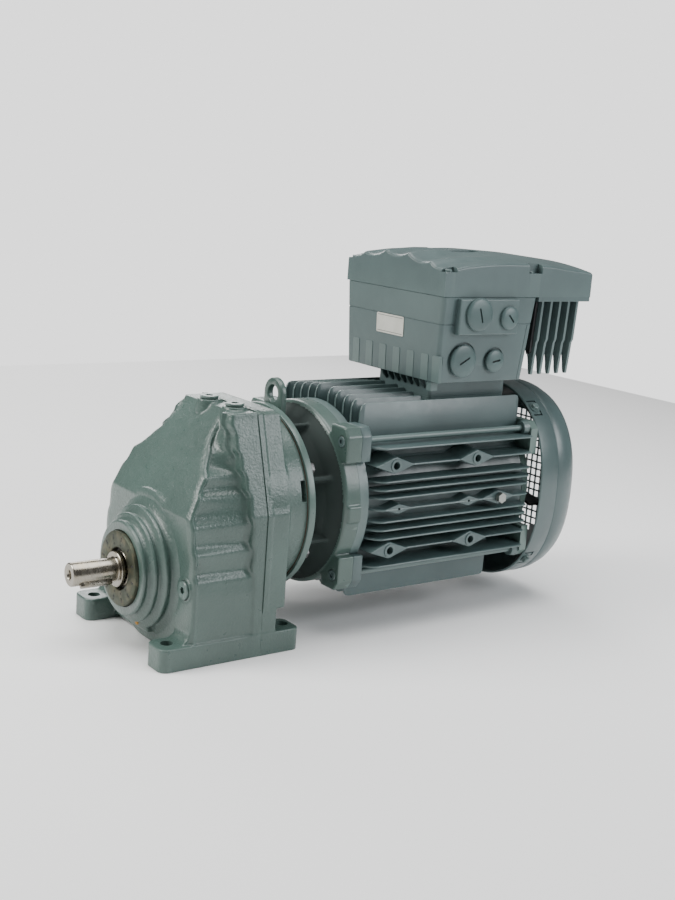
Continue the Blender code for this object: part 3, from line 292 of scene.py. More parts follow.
def rounded_rectangle(low, high, radius, steps=6):
    """Corner points of a rectangle with round corners, between two opposite corners."""
    spots = []
    for cx, cy, turn in (
        (high[0] - radius, high[1] - radius, 0.0), (low[0] + radius, high[1] - radius, 90.0),
        (low[0] + radius, low[1] + radius, 180.0), (high[0] - radius, low[1] + radius, 270.0),
    ):
        for i in range(steps + 1):
            angle = math.radians(turn + 90.0 * i / steps)
            spots.append((cx + radius * math.cos(angle), cy + radius * math.sin(angle)))
    return spots


def arc_points(middle, radii, degrees):
    """Points of an ellipse at the angles given."""
    turns = [math.radians(angle) for angle in degrees]
    return [(middle[0] + radii[0] * math.cos(a), middle[1] + radii[1] * math.sin(a)) for a in turns]


def solid(name, fill, *arguments):
    """A helper body made by one of the put functions."""
    shape = bmesh.new()
    fill(shape, *arguments)
    return new_object(name, shape)


def box_body(*spans):
    shape = bmesh.new()
    for low, high in spans:
        put_box(shape, low, high)
    return new_object("cutter", shape)


def rod_body(places, length, radius, axis="X", steps=24):
    shape = bmesh.new()
    for place in places:
        put_rod(shape, place, length, radius, axis, steps)
    return new_object("cutter", shape)


def place_piece(obj, material, node, body=BODY, extra=False):
    """Give a piece its material and body; unless extra, it stands for the node, which is hidden."""
    obj.data.materials.clear()
    obj.data.materials.append(material)
    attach(obj, body)
    if not extra:
        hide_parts(node)


# --- Materials --------------------------------------------------------------------------------
def new_material(name, colour, roughness, metallic=0.0):
    material = bpy.data.materials.new(name)
    material.use_nodes = True
    tree = material.node_tree
    shader = tree.nodes["Principled BSDF"]
    shader.inputs["Base Color"].default_value = (*colour, 1.0)
    shader.inputs["Roughness"].default_value = roughness
    shader.inputs["Metallic"].default_value = metallic
    return material, tree, shader


def object_noise(tree, size, detail=2.0, stretch=(1.0, 1.0, 1.0)):
    """Noise whose blobs are about size millimetres across, in the frame's own coordinates."""
    coordinates = tree.nodes.new("ShaderNodeTexCoord")
    mapping = tree.nodes.new("ShaderNodeMapping")
    mapping.inputs["Scale"].default_value = stretch
    noise = tree.nodes.new("ShaderNodeTexNoise")
    noise.inputs["Scale"].default_value = 1.0 / (size * MILLIMETRE)
    noise.inputs["Detail"].default_value = detail
    tree.links.new(coordinates.outputs["Object"], mapping.inputs["Vector"])
    tree.links.new(mapping.outputs["Vector"], noise.inputs["Vector"])
    return noise.outputs["Fac"]


def remap(tree, source, low, high, to_low, to_high):
    node = tree.nodes.new("ShaderNodeMapRange")
    for socket, value in (("From Min", low), ("From Max", high), ("To Min", to_low), ("To Max", to_high)):
        node.inputs[socket].default_value = value
    tree.links.new(source, node.inputs["Value"])
    return node.outputs["Result"]


def mix_colours(tree, factor, first, second):
    node = tree.nodes.new("ShaderNodeMix")
    node.data_type = "RGBA"
    for socket, value in ((node.inputs[6], first), (node.inputs[7], second)):
        if isinstance(value, tuple):
            socket.default_value = (*value, 1.0)
        else:
            tree.links.new(value, socket)
    tree.links.new(factor, node.inputs[0])
    return node.outputs[2]


def add_bump(tree, shader, layers):
    """Stack bumps; each layer is (height source, strength, depth in millimetres)."""
    normal = None
    for source, strength, depth in layers:
        bump = tree.nodes.new("ShaderNodeBump")
        bump.inputs["Strength"].default_value = strength
        bump.inputs["Distance"].default_value = depth * MILLIMETRE
        tree.links.new(source, bump.inputs["Height"])
        if normal:
            tree.links.new(normal, bump.inputs["Normal"])
        normal = bump.outputs["Normal"]
    tree.links.new(normal, shader.inputs["Normal"])


def paint_material(name, colour, roughness, peel, peel_depth, swell=0.0, wear=0.0):
    """Machine paint: orange peel of a given size, faint shade changes and thin edges."""
    material, tree, shader = new_material(name, colour, roughness)
    dark = tuple(0.88 * c for c in colour)
    light = tuple(min(1.0, 1.12 * c) for c in colour)
    broad = remap(tree, object_noise(tree, 60.0, 3.0), 0.3, 0.7, 0.0, 1.0)
    base = mix_colours(tree, broad, dark, light)
    if wear:
        geometry = tree.nodes.new("ShaderNodeNewGeometry")
        edges = remap(tree, geometry.outputs["Pointiness"], 0.53, 0.62, 0.0, wear)
        base = mix_colours(tree, edges, base, (0.20, 0.28, 0.26))
    tree.links.new(base, shader.inputs["Base Color"])
    gloss = remap(tree, object_noise(tree, 9.0, 4.0), 0.3, 0.7, roughness - 0.05, roughness + 0.07)
    tree.links.new(gloss, shader.inputs["Roughness"])
    layers = [(object_noise(tree, peel, 2.0), 0.55, peel_depth)]
    if swell:
        layers.append((object_noise(tree, 14.0, 2.0), 0.5, swell))
    add_bump(tree, shader, layers)
    shader.inputs["Coat Weight"].default_value = 0.3
    shader.inputs["Coat Roughness"].default_value = 0.25
    return material


def turned_steel(name, colour, roughness, stain):
    """Machined steel: fine rings along x, light scratches and a film of old oil."""
    material, tree, shader = new_material(name, colour, roughness, 1.0)
    rings = object_noise(tree, 1.2, 2.0, (1.0, 0.04, 0.04))
    film = remap(tree, object_noise(tree, 11.0, 3.0), 0.48, 0.68, 0.0, stain)
    base = mix_colours(tree, film, colour, (0.33, 0.27, 0.17))
    tree.links.new(base, shader.inputs["Base Color"])
    scratches = object_noise(tree, 3.0, 4.0, (1.0, 0.3, 0.3))
    gloss = remap(tree, scratches, 0.3, 0.7, roughness - 0.06, roughness + 0.10)
    tree.links.new(gloss, shader.inputs["Roughness"])
    add_bump(tree, shader, [(rings, 0.10, 0.02)])
    return material


def plastic_material(name, colour, roughness, grain=0.6):
    material, tree, shader = new_material(name, colour, roughness)
    shade_noise = remap(tree, object_noise(tree, 30.0, 3.0), 0.3, 0.7, 0.0, 1.0)
    base = mix_colours(tree, shade_noise, tuple(0.85 * c for c in colour), tuple(1.12 * c for c in colour))
    tree.links.new(base, shader.inputs["Base Color"])
    add_bump(tree, shader, [(object_noise(tree, grain, 1.0), 0.3, 0.03)])
    return material


def layered_metal(name, colour, roughness, metallic, noise, band, shades, bump):
    """Metal built up of fine wires or sheets, drawn by a stretched noise."""
    material, tree, shader = new_material(name, colour, roughness, metallic)
    lines = object_noise(tree, *noise)
    base = mix_colours(tree, remap(tree, lines, *band, 0.0, 1.0), *shades)
    tree.links.new(base, shader.inputs["Base Color"])
    add_bump(tree, shader, [(lines, *bump)])
    return material


CAST_PAINT = (0.062, 0.104, 0.090)
FRAME_PAINT = (0.062, 0.098, 0.098)
BOX_PAINT = (0.072, 0.110, 0.110)
CAST = paint_material("cast_iron_paint", CAST_PAINT, 0.32, 2.6, 0.95, 0.35, 0.35)
FLANGE = paint_material("machined_paint", CAST_PAINT, 0.32, 2.4, 0.28, 0.0, 0.4)
FRAME = paint_material("frame_paint", FRAME_PAINT, 0.38, 1.6, 0.10, 0.0, 0.35)
BOX = paint_material("housing_paint", BOX_PAINT, 0.42, 0.8, 0.05, 0.0, 0.25)
SHEET = paint_material("sheet_paint", FRAME_PAINT, 0.34, 2.6, 0.07, 0.0, 0.25)
SHAFT_STEEL = turned_steel("shaft_steel", (0.30, 0.28, 0.24), 0.24, 0.35)
BRIGHT_STEEL = turned_steel("bright_steel", (0.55, 0.54, 0.51), 0.30, 0.2)
DARK_STEEL = turned_steel("dark_steel", (0.16, 0.16, 0.16), 0.38, 0.3)
ZINC = turned_steel("zinc_steel", (0.32, 0.33, 0.31), 0.36, 0.15)
DISC_STEEL = turned_steel("disc_steel", (0.075, 0.084, 0.062), 0.50, 0.25)
# Near-black coat that is painted shade deep inside the drive-end shield's funnel
FUNNEL_PAINTED_SHADE = plastic_material("funnel_painted_shade", (0.012, 0.024, 0.021), 0.75, 2.0)
JOINT_RUST = plastic_material("joint_rust", (0.085, 0.048, 0.028), 0.8)
# Near-black material for sheets of painted shade in slots and openings
SLOT_PAINTED_SHADE = plastic_material("slot_painted_shade", (0.008, 0.010, 0.009), 0.6)
RUBBER = plastic_material("seal_rubber", (0.02, 0.02, 0.02), 0.55)
# Black plastic of the fan and terminal block; also painted shade in the disc marks and on the shadowed rear
# heat-sink fin
BLACK_PLASTIC_AND_SHADE = plastic_material("fan_plastic_and_painted_shade", (0.012, 0.012, 0.013), 0.5)
PLUG_PLASTIC = plastic_material("plug_plastic", (0.072, 0.114, 0.112), 0.36, 0.9)
BOARD = plastic_material("board_green", (0.02, 0.13, 0.05), 0.4)
LABEL = plastic_material("label_film", (0.62, 0.62, 0.56), 0.35, 1.5)
LABEL_INK = plastic_material("label_ink", (0.05, 0.05, 0.05), 0.5)
COPPER = layered_metal(
    "winding_copper", (0.55, 0.22, 0.08), 0.35, 0.8, (1.1, 2.0, (1.0, 0.25, 0.25)), (0.35, 0.65),
    ((0.30, 0.10, 0.04), (0.62, 0.27, 0.11)), (0.8, 0.4),
)
LAMINATIONS = layered_metal(
    "core_laminations", (0.22, 0.22, 0.22), 0.45, 0.9, (0.6, 1.0, (1.0, 0.02, 0.02)), (0.4, 0.6),
    ((0.12, 0.12, 0.12), (0.30, 0.29, 0.28)), (0.5, 0.1),
)
YELLOW = plastic_material("drain_yellow", (0.55, 0.26, 0.02), 0.5)


# --- Gear case --------------------------------------------------------------------------------
def ridge(z):
    """Depth of the flank's hollows at a height: steep just above a crest, easing out to the next."""
    for low, high in zip(RIDGE_CRESTS, RIDGE_CRESTS[1:]):
        if low <= z <= high and low > 80.0:
            share = (z - low) / (high - low)
            if share < RIDGE_STEEP_SHARE:
                return RIDGE_DEPTH * ease(share, 0.0, RIDGE_STEEP_SHARE)
            return RIDGE_DEPTH * (1.0 - ease(share, RIDGE_STEEP_SHARE, 1.0))
    return 0.0


def case_half_section(z):
    """Half of the front casting's plan outline at a height, from its nose to the split."""
    nose = table(z, FRONT_WALL)
    width = table(z, FRONT_WIDTH)
    rim = table(z, RIM_WIDTH)
    hollow = ridge(z)
    pocket = table(z, POCKET_DEPTH)
    flank_end = rim - pocket
    lip = width - 0.45 * hollow
    start = min(width - 1.5, flank_end)
    wall_x = table(z, RIM_START) - 0.5 * hollow
    spots = [
        (nose, 0.0),
        (nose, lip - 8.0),
        (nose + 1.0, lip - 2.5),
        (nose + 3.5, lip),
        (nose + 6.5, start - hollow),
    ]
    for share in (0.25, 0.5, 0.75, 1.0):
        x = nose + 6.5 + (wall_x - 6.0 - nose - 6.5) * share
        bulge = math.sin(math.pi * share) * 0.12 * pocket
        spots.append((x, start + (flank_end - start) * share - hollow * (1.0 - 0.3 * share) - bulge))
    spots += [
        (wall_x - 1.5, flank_end - 0.4 * hollow + 0.25 * pocket),
        (wall_x, rim - 1.2),
        (wall_x + 1.5, rim),
        (SPLIT_X + 6.0, rim),
        (SPLIT_X + 6.0, 0.0),
    ]
    return spots


def both_sides(spots, z):
    near = [(x, -y, z) for x, y in spots]
    far = [(x, y, z) for x, y in reversed(spots[1:-1])]
    return near + far


def put_feet(shape, x_from, x_to):
    for side in (-1.0, 1.0):
        low, high = sorted((side * FOOT_Y[0], side * FOOT_Y[1]))
        outline = rounded_rectangle((x_from, low), (x_to, high), FOOT_CORNER)
        put_prism(shape, outline, -4.0, FOOT_HEIGHT, "Z")


def foot_hole_body(x):
    places = [(x, side * FOOT_HOLE_Y, -5.0) for side in (-1.0, 1.0)]
    return rod_body(places, FOOT_HEIGHT + 10.0, FOOT_HOLE_RADIUS, "Z", 40)


def far_shoulder():
    """Wedge that bevels the far top corner of both gear-case castings."""
    outline = [(41.0, 262.0), (42.0, 252.3), (52.0, 226.0), (80.0, 206.0), (120.0, 206.0), (120.0, 262.0)]
    return solid("cutter", put_prism, outline, 60.0, 170.0)


def beyond(x_low, x_high):
    """Boxes that trim a casting flat at its two joints."""
    return box_body(
        ((x_low - 40.0, -140.0, -30.0), (x_low, 140.0, 300.0)),
        ((x_high, -140.0, -30.0), (x_high + 40.0, 140.0, 300.0)),
    )


def below(x_low, x_high):
    """Box that trims a casting flat under its feet."""
    return box_body(((x_low - 80.0, -150.0, -40.0), (x_high + 80.0, 150.0, 0.0)))


def bolt_places(x):
    spots = []
    for angle in BOLT_ANGLES:
        turn = math.radians(angle)
        spots.append((x, BOLT_CIRCLE * math.cos(turn), MOTOR_Z + BOLT_CIRCLE * math.sin(turn)))
    return spots


def make_front_casting():
    shape = bmesh.new()
    levels = [CASE_BOTTOM_Z, 30.0, 60.0] + [64.0 + 2.0 * i for i in range(92)] + [CASE_TOP_Z]
    put_loops(shape, [both_sides(case_half_section(z), z) for z in levels])
    put_feet(shape, 0.0, SPLIT_X + 20.0)
    hub = [
        (0.0, 60.0), (82.0, 60.0), (82.0, 35.5), (76.5, 33.5), (73.0, 33.0), (68.0, 31.0), (62.5, 28.0),
        (65.1, 25.5), (65.1, 22.5), (60.5, 20.8), (55.0, 18.2), (57.6, 16.3), (57.6, 13.7), (53.0, 12.2),
        (47.8, 9.6), (50.3, 7.2), (50.3, 5.0), (48.5, 4.0), (0.0, 4.0),
    ]
    put_turned(shape, hub, (0.0, 0.0, OUTPUT_Z), 120)
    put_rod(shape, (31.6, LEVEL_PLUG_Y, LEVEL_PLUG_Z), 8.0, 12.5, "X", 48, 13.5)
    for side in (-1.0, 1.0):
        put_foot_cove(shape, *sorted((side * 68.0, side * 97.0)))
    put_box(shape, (24.0, -26.0, 14.0), (40.0, 8.0, 30.0))
    for _, _, x, y in TOP_PLUGS:
        put_rod(shape, (x, y, 240.0), 15.3, 14.5, "Z", 40, 12.5)
    casting = new_object("front_casting", shape)
    as_casting(casting, 1.15, 0.42)
    ends = -60.0, SPLIT_X - GAP
    cut(casting, beyond(*ends), below(*ends), solid("cutter", put_loops, case_cavity_loops()))
    bore = [
        (0.0, 80.0), (36.0, 80.0), (36.0, 57.7), (30.0, 57.7), (30.0, 34.0), (40.0, 34.0), (40.0, 4.8),
        (40.8, 3.8), (40.8, 0.0), (0.0, 0.0),
    ]
    cut(casting, solid("cutter", put_turned, bore, (0.0, 0.0, OUTPUT_Z), 96))
    plug_holes = rod_body([(x, y, 218.0) for _, _, x, y in TOP_PLUGS], 60.0, PLUG_HOLE_RADIUS, "Z")
    level_start = [(18.0, LEVEL_PLUG_Y, LEVEL_PLUG_Z)]
    level_hole = rod_body(level_start, 34.0, PLUG_HOLE_RADIUS)
    level_seat = rod_body(level_start, 15.2, 10.3, "X", 48)
    cut(casting, foot_hole_body(FOOT_HOLES[0]), plug_holes, level_seat, level_hole, far_shoulder())
    place_piece(even_shading(casting, 50.0), CAST, "gear_case_front")


def put_foot_cove(shape, y_from, y_to, radius=13.0):
    """Concave foot-to-wall fillet along y."""
    wall = FRONT_WALL[0][1]
    outline = [(wall + 3.0, FOOT_HEIGHT - 3.0), (wall + 3.0, FOOT_HEIGHT + radius)]
    for i in range(9):
        angle = math.radians(90.0 * i / 8)
        across, up = radius * math.cos(angle), radius * math.sin(angle)
        outline.append((wall - radius + across, FOOT_HEIGHT + radius - up))
    outline.append((wall - radius, FOOT_HEIGHT - 3.0))
    put_prism(shape, outline, y_from, y_to, "Y")


def case_cavity_loops():
    """Sections of the hollow, a wall's thickness inside the front casting."""
    loops = []
    for z in (14.0, 100.0, 150.0, 190.0, 207.0, 224.0):
        nose = table(z, FRONT_WALL) + CASE_WALL + 4.0
        width = table(z, FRONT_WIDTH)
        rim = table(z, RIM_WIDTH)
        limit = table(z, CAVITY_LIMIT)
        neck = min(rim - 20.0, 72.0, limit)
        loops.append(both_sides([
            (nose, 0.0),
            (nose, width - CASE_WALL - 14.0),
            (nose + 8.0, min(width, rim, limit + 16.0) - CASE_WALL - 9.0),
            (97.0, min(rim - CASE_WALL - 11.0, limit)),
            (97.1, neck),
            (SPLIT_X + 9.0, neck),
            (SPLIT_X + 9.0, 0.0),
        ], z))
    return loops


def make_rear_casting():
    rim = [(-y, z) for z, y in RIM_WIDTH]
    low_outline = [(-101.0, CASE_BOTTOM_Z), (-101.0, 80.0), (101.0, 80.0), (101.0, CASE_BOTTOM_Z)]
    outline = [(-101.0, 49.0), *rim, (-62.0, CASE_TOP_Z)]
    outline += [(-y, z) for y, z in reversed(outline)]
    shape = bmesh.new()
    put_prism(shape, outline, SPLIT_X - 8.0, 144.3)
    put_prism(shape, low_outline, SPLIT_X - 8.0, 134.3)
    bead = [(y * 1.012, MOTOR_Z + (z - MOTOR_Z) * 1.012) for y, z in outline]
    put_prism(shape, bead, SPLIT_X - 8.0, SPLIT_X + 6.0)
    put_feet(shape, SPLIT_X - 20.0, FOOT_END_X)
    drum = [
        (0.0, FLANGE_X + 8.0), (98.0, FLANGE_X + 8.0), (98.0, 150.0), (99.5, 140.0), (99.5, 120.0),
        (0.0, 120.0),
    ]
    put_turned(shape, drum, (0.0, 0.0, MOTOR_Z), 128)
    casting = new_object("rear_casting", shape)
    as_casting(casting, 1.15, 0.42)
    ends = SPLIT_X + GAP, FLANGE_X - GAP
    cut(casting, beyond(*ends), below(*ends))
    room = box_body(((100.0, -73.0, 14.0), (129.0, 73.0, 200.0)))
    bevel(room, 12.0, 3)
    bore = rod_body([(112.0, 0.0, MOTOR_Z)], 60.0, 76.0, "X", 96)
    window = solid(
        "cutter", put_prism, rounded_rectangle((160.0, 160.0), (166.0, 182.0), 1.5), -106.0, -60.0, "Y"
    )
    cut(casting, room, bore, window, foot_hole_body(FOOT_HOLES[1]), far_shoulder())
    place_piece(even_shading(casting, 50.0), CAST, "gear_case_rear")


# --- Output end -------------------------------------------------------------------------------
KEY_TURN = math.radians(140.0)
DISC_MARKS = 12


def turn_about_output(obj, angle):
    centre = at(0.0, 0.0, OUTPUT_Z)
    obj.data.transform(
        Matrix.Translation(centre) @ Matrix.Rotation(angle, 4, "X") @ Matrix.Translation(-centre)
    )
    return obj


def key_outline(margin):
    """Round-ended plan outline of the key."""
    return rounded_rectangle((-46.0 - margin, -4.0 - margin), (-10.0 + margin, 4.0 + margin), 3.99, 8)


def make_output_shaft():
    profile = [
        (0.0, 118.0), (16.0, 118.0), (17.0, 117.0), (17.0, 116.8), (15.8, 116.8), (15.8, 114.9),
        (17.0, 114.9), (17.0, 76.0), (17.5, 76.0), (17.5, 57.7), (24.0, 57.7), (24.0, 32.3),
        (20.0, 32.3), (20.0, 13.7), (18.9, 13.7), (18.9, 3.4), (18.2, 2.8), (18.2, 1.6), (18.9, 1.0),
        (18.9, -3.2), (18.2, -3.9),
        (13.3, -4.0), (12.5, -4.8), (12.5, -52.6), (12.1, -53.4), (11.3, -54.0),
        (5.6, -54.0), (5.0, -53.4), (4.2, -52.2), (4.2, -32.0), (0.0, -30.0),
    ]
    shaft = solid("turned_output_shaft", put_turned, profile, (0.0, 0.0, OUTPUT_Z), 120)
    keyway = solid("cutter", put_prism, key_outline(0.25), OUTPUT_Z + 8.2, OUTPUT_Z + 20.0, "Z")
    gear_way = box_body(((84.0, -4.3, OUTPUT_Z + 12.2), (111.0, 4.3, OUTPUT_Z + 20.0)))
    cut(shaft, turn_about_output(keyway, KEY_TURN), gear_way)
    place_piece(shade(shaft), SHAFT_STEEL, "output_shaft", OUTPUT_BODY)
    key = solid("round_ended_key", put_prism, key_outline(0.0), OUTPUT_Z + 8.5, OUTPUT_Z + 15.4, "Z")
    bevel(key, 0.5, 2)
    turn_about_output(key, KEY_TURN)
    place_piece(shade(key), SHAFT_STEEL, "output_key", OUTPUT_BODY)


def make_seal_disc():
    """Cover disc with a ring of stroke marks and a ring of dots pressed into it."""
    profile = [
        (39.7, 6.0), (39.7, 1.2), (39.3, 0.4), (38.6, 0.0), (23.6, 0.0), (22.6, 0.5), (22.0, 1.6),
        (22.0, 6.0),
    ]
    disc = solid("marked_seal_disc", put_turned, profile, (0.0, 0.0, OUTPUT_Z), 120)
    marks = bmesh.new()
    for number in range(DISC_MARKS):
        turn = Matrix.Rotation(math.tau * (number + 0.35) / DISC_MARKS, 3, "X")
        fresh = put_box(marks, (-1.0, -0.95, 30.6), (0.5, 0.95, 35.8))
        fresh += put_rod(marks, (-1.0, 0.0, 26.2), 1.5, 1.15, "X", 12)
        bmesh.ops.rotate(marks, verts=fresh, cent=at(0.0, 0.0, 0.0), matrix=turn)
    bmesh.ops.translate(marks, verts=marks.verts, vec=(0.0, 0.0, OUTPUT_Z * MILLIMETRE))
    marks = new_object("disc_marks", marks)
    # A black copy of the marks, flush with the disc's face, is painted shade in the pressed-in marks
    mark_shade = marks.copy()
    mark_shade.data = marks.data.copy()
    bpy.context.scene.collection.objects.link(mark_shade)
    mark_shade.name = "disc_mark_painted_shade"
    cut(disc, marks)
    cut(mark_shade, box_body(((-5.0, -60.0, 20.0), (0.12, 60.0, 140.0))))
    place_piece(shade(disc), DISC_STEEL, "seal_cover_disc")
    place_piece(mark_shade, BLACK_PLASTIC_AND_SHADE, "seal_cover_disc", extra=True)


def make_drain_item():
    """Small capped stub under the hub."""
    shape = bmesh.new()
    put_rod(shape, (22.0, -9.0, 21.5), 9.0, 4.2, "X", 6)
    put_rod(shape, (19.5, -9.0, 21.5), 3.0, 3.0, "X", 24)
    stub = bevel(new_object("drain_stub", shape), 0.5, 2)
    place_piece(shade(stub), YELLOW, "oil_level_plug", extra=True)


def make_oil_plugs():
    profile = [
        (0.0, -14.0), (6.0, -14.0), (6.0, 0.4), (9.4, 0.4), (9.8, 1.0), (9.8, 2.8), (9.0, 3.4), (0.0, 3.4),
    ]
    for name, node, x, y in TOP_PLUGS:
        plug = solid(name, put_turned, profile, (x, y, 255.4), 48, "Z")
        cut(plug, rod_body([(x, y, 254.5)], 9.0, 4.6, "Z", 6))
        place_piece(shade(plug), FLANGE, node)
    profile = [
        (0.0, 12.0), (6.0, 12.0), (6.0, 0.3), (9.2, 0.3), (9.6, -0.2), (9.6, -2.4), (8.8, -3.0), (0.0, -3.0),
    ]
    level = solid("level_plug_head", put_turned, profile, (32.4, LEVEL_PLUG_Y, LEVEL_PLUG_Z), 48)
    cut(level, rod_body([(24.0, LEVEL_PLUG_Y, LEVEL_PLUG_Z)], 8.0, 4.0, "X", 6))
    place_piece(shade(level), CAST, "oil_level_plug")


def make_lifting_eye():
    """Flat eye plate with rounded edges."""
    arc = arc_points((0.0, 257.0), (17.5, 17.5), [6.0 * i for i in range(31)])
    outline = arc + [(-17.5, 240.0), (-17.0, 217.0), (17.0, 217.0), (17.5, 240.0)]
    eye = solid("eye_plate", put_prism, outline, 180.0, 187.0)
    cut(eye, rod_body([(170.0, 0.0, 257.0)], 30.0, 9.0, "X", 48))
    bevel(eye, 1.6, 3, 50.0)
    place_piece(shade(eye), FLANGE, "lifting_eye")


# --- Motor ------------------------------------------------------------------------------------
LUG_OUTLINE = ((66.0, 52.0), (98.0, 52.0), (98.0, 80.0), (91.0, 90.0), (66.0, 90.0))


def put_lugs(shape, x_from, x_to):
    """Four chamfered blocks that carry the tie rods."""
    for side, up in ((1, 1), (-1, 1), (-1, -1), (1, -1)):
        outline = [(side * y, MOTOR_Z + up * height) for y, height in LUG_OUTLINE]
        put_prism(shape, outline, x_from, x_to)


def rod_places(x):
    return [(x, side * ROD_Y, MOTOR_Z + up * ROD_DZ) for side in (-1, 1) for up in (-1, 1)]


def make_shield():
    """Drive-end shield: bolted ring, deep funnel with webs, and a rim with four lugs."""
    rear = FRAME_X - GAP
    profile = [
        (0.0, rear + 8.0), (103.0, rear + 8.0), (103.0, 214.5), (101.5, 213.0), (97.5, 211.5),
        (84.0, 200.5), (74.5, 189.0), (70.5, 180.0), (70.0, 150.0), (0.0, 150.0),
    ]
    shape = bmesh.new()
    put_turned(shape, profile, (0.0, 0.0, MOTOR_Z), 128)
    put_lugs(shape, 213.0, rear + 8.0)
    for number in range(SHIELD_WEBS):
        turn = Matrix.Rotation(math.tau * (number + 0.5) / SHIELD_WEBS, 3, "X")
        fresh = put_box(shape, (170.0, -2.2, MOTOR_Z + 62.0), (206.0, 2.2, MOTOR_Z + 91.0))
        bmesh.ops.rotate(shape, verts=fresh, cent=at(0.0, 0.0, MOTOR_Z), matrix=turn)
    put_both(shape, (92.0, 105.5), 216.0, rear + 8.0, 133.0, 151.0)
    put_box(shape, (178.5, -22.0, 205.0), (188.5, 22.0, 230.0))
    shield = new_object("cast_shield", shape)
    as_casting(shield, 1.2, 0.5)
    cut(shield, beyond(168.0, rear))
    ring = solid("ring", put_turned, [
        (60.0, FLANGE_X + GAP), (101.4, FLANGE_X + GAP), (102.0, FLANGE_X + 0.8), (102.0, 174.4),
        (101.2, 175.2), (60.0, 175.2),
    ], (0.0, 0.0, MOTOR_Z), 128)
    join(shield, ring)
    hollow = solid("cutter", put_turned, [
        (0.0, rear + 20.0), (86.0, rear + 20.0), (86.0, rear), (80.0, 224.0), (60.0, 211.0), (36.0, 209.0),
        (36.0, 189.7), (26.0, 189.7), (26.0, 150.0), (0.0, 150.0),
    ], (0.0, 0.0, MOTOR_Z), 96)
    eye_slot = box_body(((179.7, -18.0, 214.0), (187.3, 18.0, 262.0)))
    recess = rod_body(rod_places(200.0), 16.8, 6.6, "X", 32)
    holes = rod_body(rod_places(200.0), 50.0, ROD_RADIUS + 0.3, "X", 20)
    bolts = rod_body(bolt_places(160.0), 24.0, 4.4, "X", 20)
    cut(shield, hollow, eye_slot, recess, holes, bolts)
    place_piece(even_shading(shield, 45.0), FLANGE, "drive_end_shield")
    # The funnel's inner faces get painted shade: a near-black second material in place of the paint
    shield.data.materials.append(FUNNEL_PAINTED_SHADE)
    for face in shield.data.polygons:
        spot = face.center / MILLIMETRE
        reach = math.hypot(spot.y, spot.z - MOTOR_Z)
        if reach < FUNNEL_RADIUS and FUNNEL_X[0] < spot.x - SEAL_FACE_X < FUNNEL_X[1]:
            face.material_index = 1


def make_joint_line():
    """Thin rusty sealing ring in the joint between gear case and motor flange."""
    front, rear = FLANGE_X - 0.25, FLANGE_X + 0.25
    profile = [(92.0, front), (98.9, front), (98.9, rear), (92.0, rear)]
    ring = solid("flange_joint_line", put_turned, profile, (0.0, 0.0, MOTOR_Z), 128)
    place_piece(shade(ring), JOINT_RUST, "gear_case_rear", extra=True)


def make_flange_bolts():
    for number, (x, y, z) in enumerate(bolt_places(175.4), start=1):
        shape = bmesh.new()
        put_rod(shape, (103.0, y, z), 75.0, 4.0, "X", 24)
        put_rod(shape, (x, y, z), 1.2, 8.6, "X", 32)
        bolt = new_object("flange_screw_%d" % number, shape)
        head = bevel(rod_body([(x + 1.0, y, z)], 5.6, 7.4, "X", 6), 0.6, 2, 50.0)
        join(bolt, head)
        place_piece(shade(bolt), DARK_STEEL, "flange_bolt_%d" % number)


def flank_fin_loops(side, height, start, edge, root):
    """Sections of a side fin along x: thin at the tip, thicker at the root, sloped in front."""
    z = MOTOR_Z + height
    tip, foot = 1.15, 2.1
    loops = []
    stations = ((start, 17.0), (start + 4.0, 9.0), (start + 9.0, 3.0), (start + 14.0, 0.4),
                (start + 18.0, 0.0), (476.0, 0.0), (479.5, 1.2), (481.0, 4.0))
    for x, drop in stations:
        reach = edge - drop
        loops.append([
            (x, side * root, z - foot), (x, side * (reach - 1.0), z - tip),
            (x, side * (reach - 0.3), z - 0.75), (x, side * reach, z),
            (x, side * (reach - 0.3), z + 0.75), (x, side * (reach - 1.0), z + tip),
            (x, side * root, z + foot),
        ])
    return loops


def upright_fin_loops(y, up, start, end, root, edge):
    tip, foot = 1.15, 2.0
    loops = []
    for x, drop in ((start, 9.0), (start + 1.2, 4.5), (start + 3.5, 1.4), (start + 7.0, 0.0),
                    (end - 4.0, 0.0), (end - 1.2, 1.2), (end, 4.0)):
        reach = edge - drop
        loops.append([
            (x, y - foot, MOTOR_Z + up * root), (x, y - tip, MOTOR_Z + up * (reach - 1.0)),
            (x, y - 0.7, MOTOR_Z + up * (reach - 0.25)), (x, y + 0.7, MOTOR_Z + up * (reach - 0.25)),
            (x, y + tip, MOTOR_Z + up * (reach - 1.0)), (x, y + foot, MOTOR_Z + up * root),
        ])
    return loops


def teardrop(x, z, radius, reach, steps=18):
    """Outline in x and z: a circle with a point drawn out fore and aft."""
    spots = []
    half = math.acos(radius / reach)
    for tip, start in ((reach, 0.0), (-reach, math.pi)):
        spots.append((x + tip, z))
        for i in range(steps + 1):
            angle = start + half + (math.pi - 2.0 * half) * i / steps
            spots.append((x + radius * math.cos(angle), z + radius * math.sin(angle)))
    return spots


def put_boss(shape, side, x, z, radius, reach, root, face):
    """A screw boss that runs out into its fin, wider at its root."""
    loops = []
    sections = ((root, 1.25), (face - 5.0, 1.04), (face - 1.0, 1.0), (face - 0.3, 0.96), (face, 0.90))
    for depth, swell in sections:
        outline = teardrop(x, z, radius * swell, reach * (0.9 + 0.1 * swell))
        loops.append([(a, side * depth, b) for a, b in outline])
    put_loops(shape, loops)


def neck_body(name, radius, z_from, z_to):
    """Upright block that carries the inverter housing on the stator frame."""
    outline = rounded_rectangle((NECK_X[0], NECK_Y[0]), (NECK_X[1], NECK_Y[1]), radius)
    return solid(name, put_prism, outline, z_from, z_to, "Z")


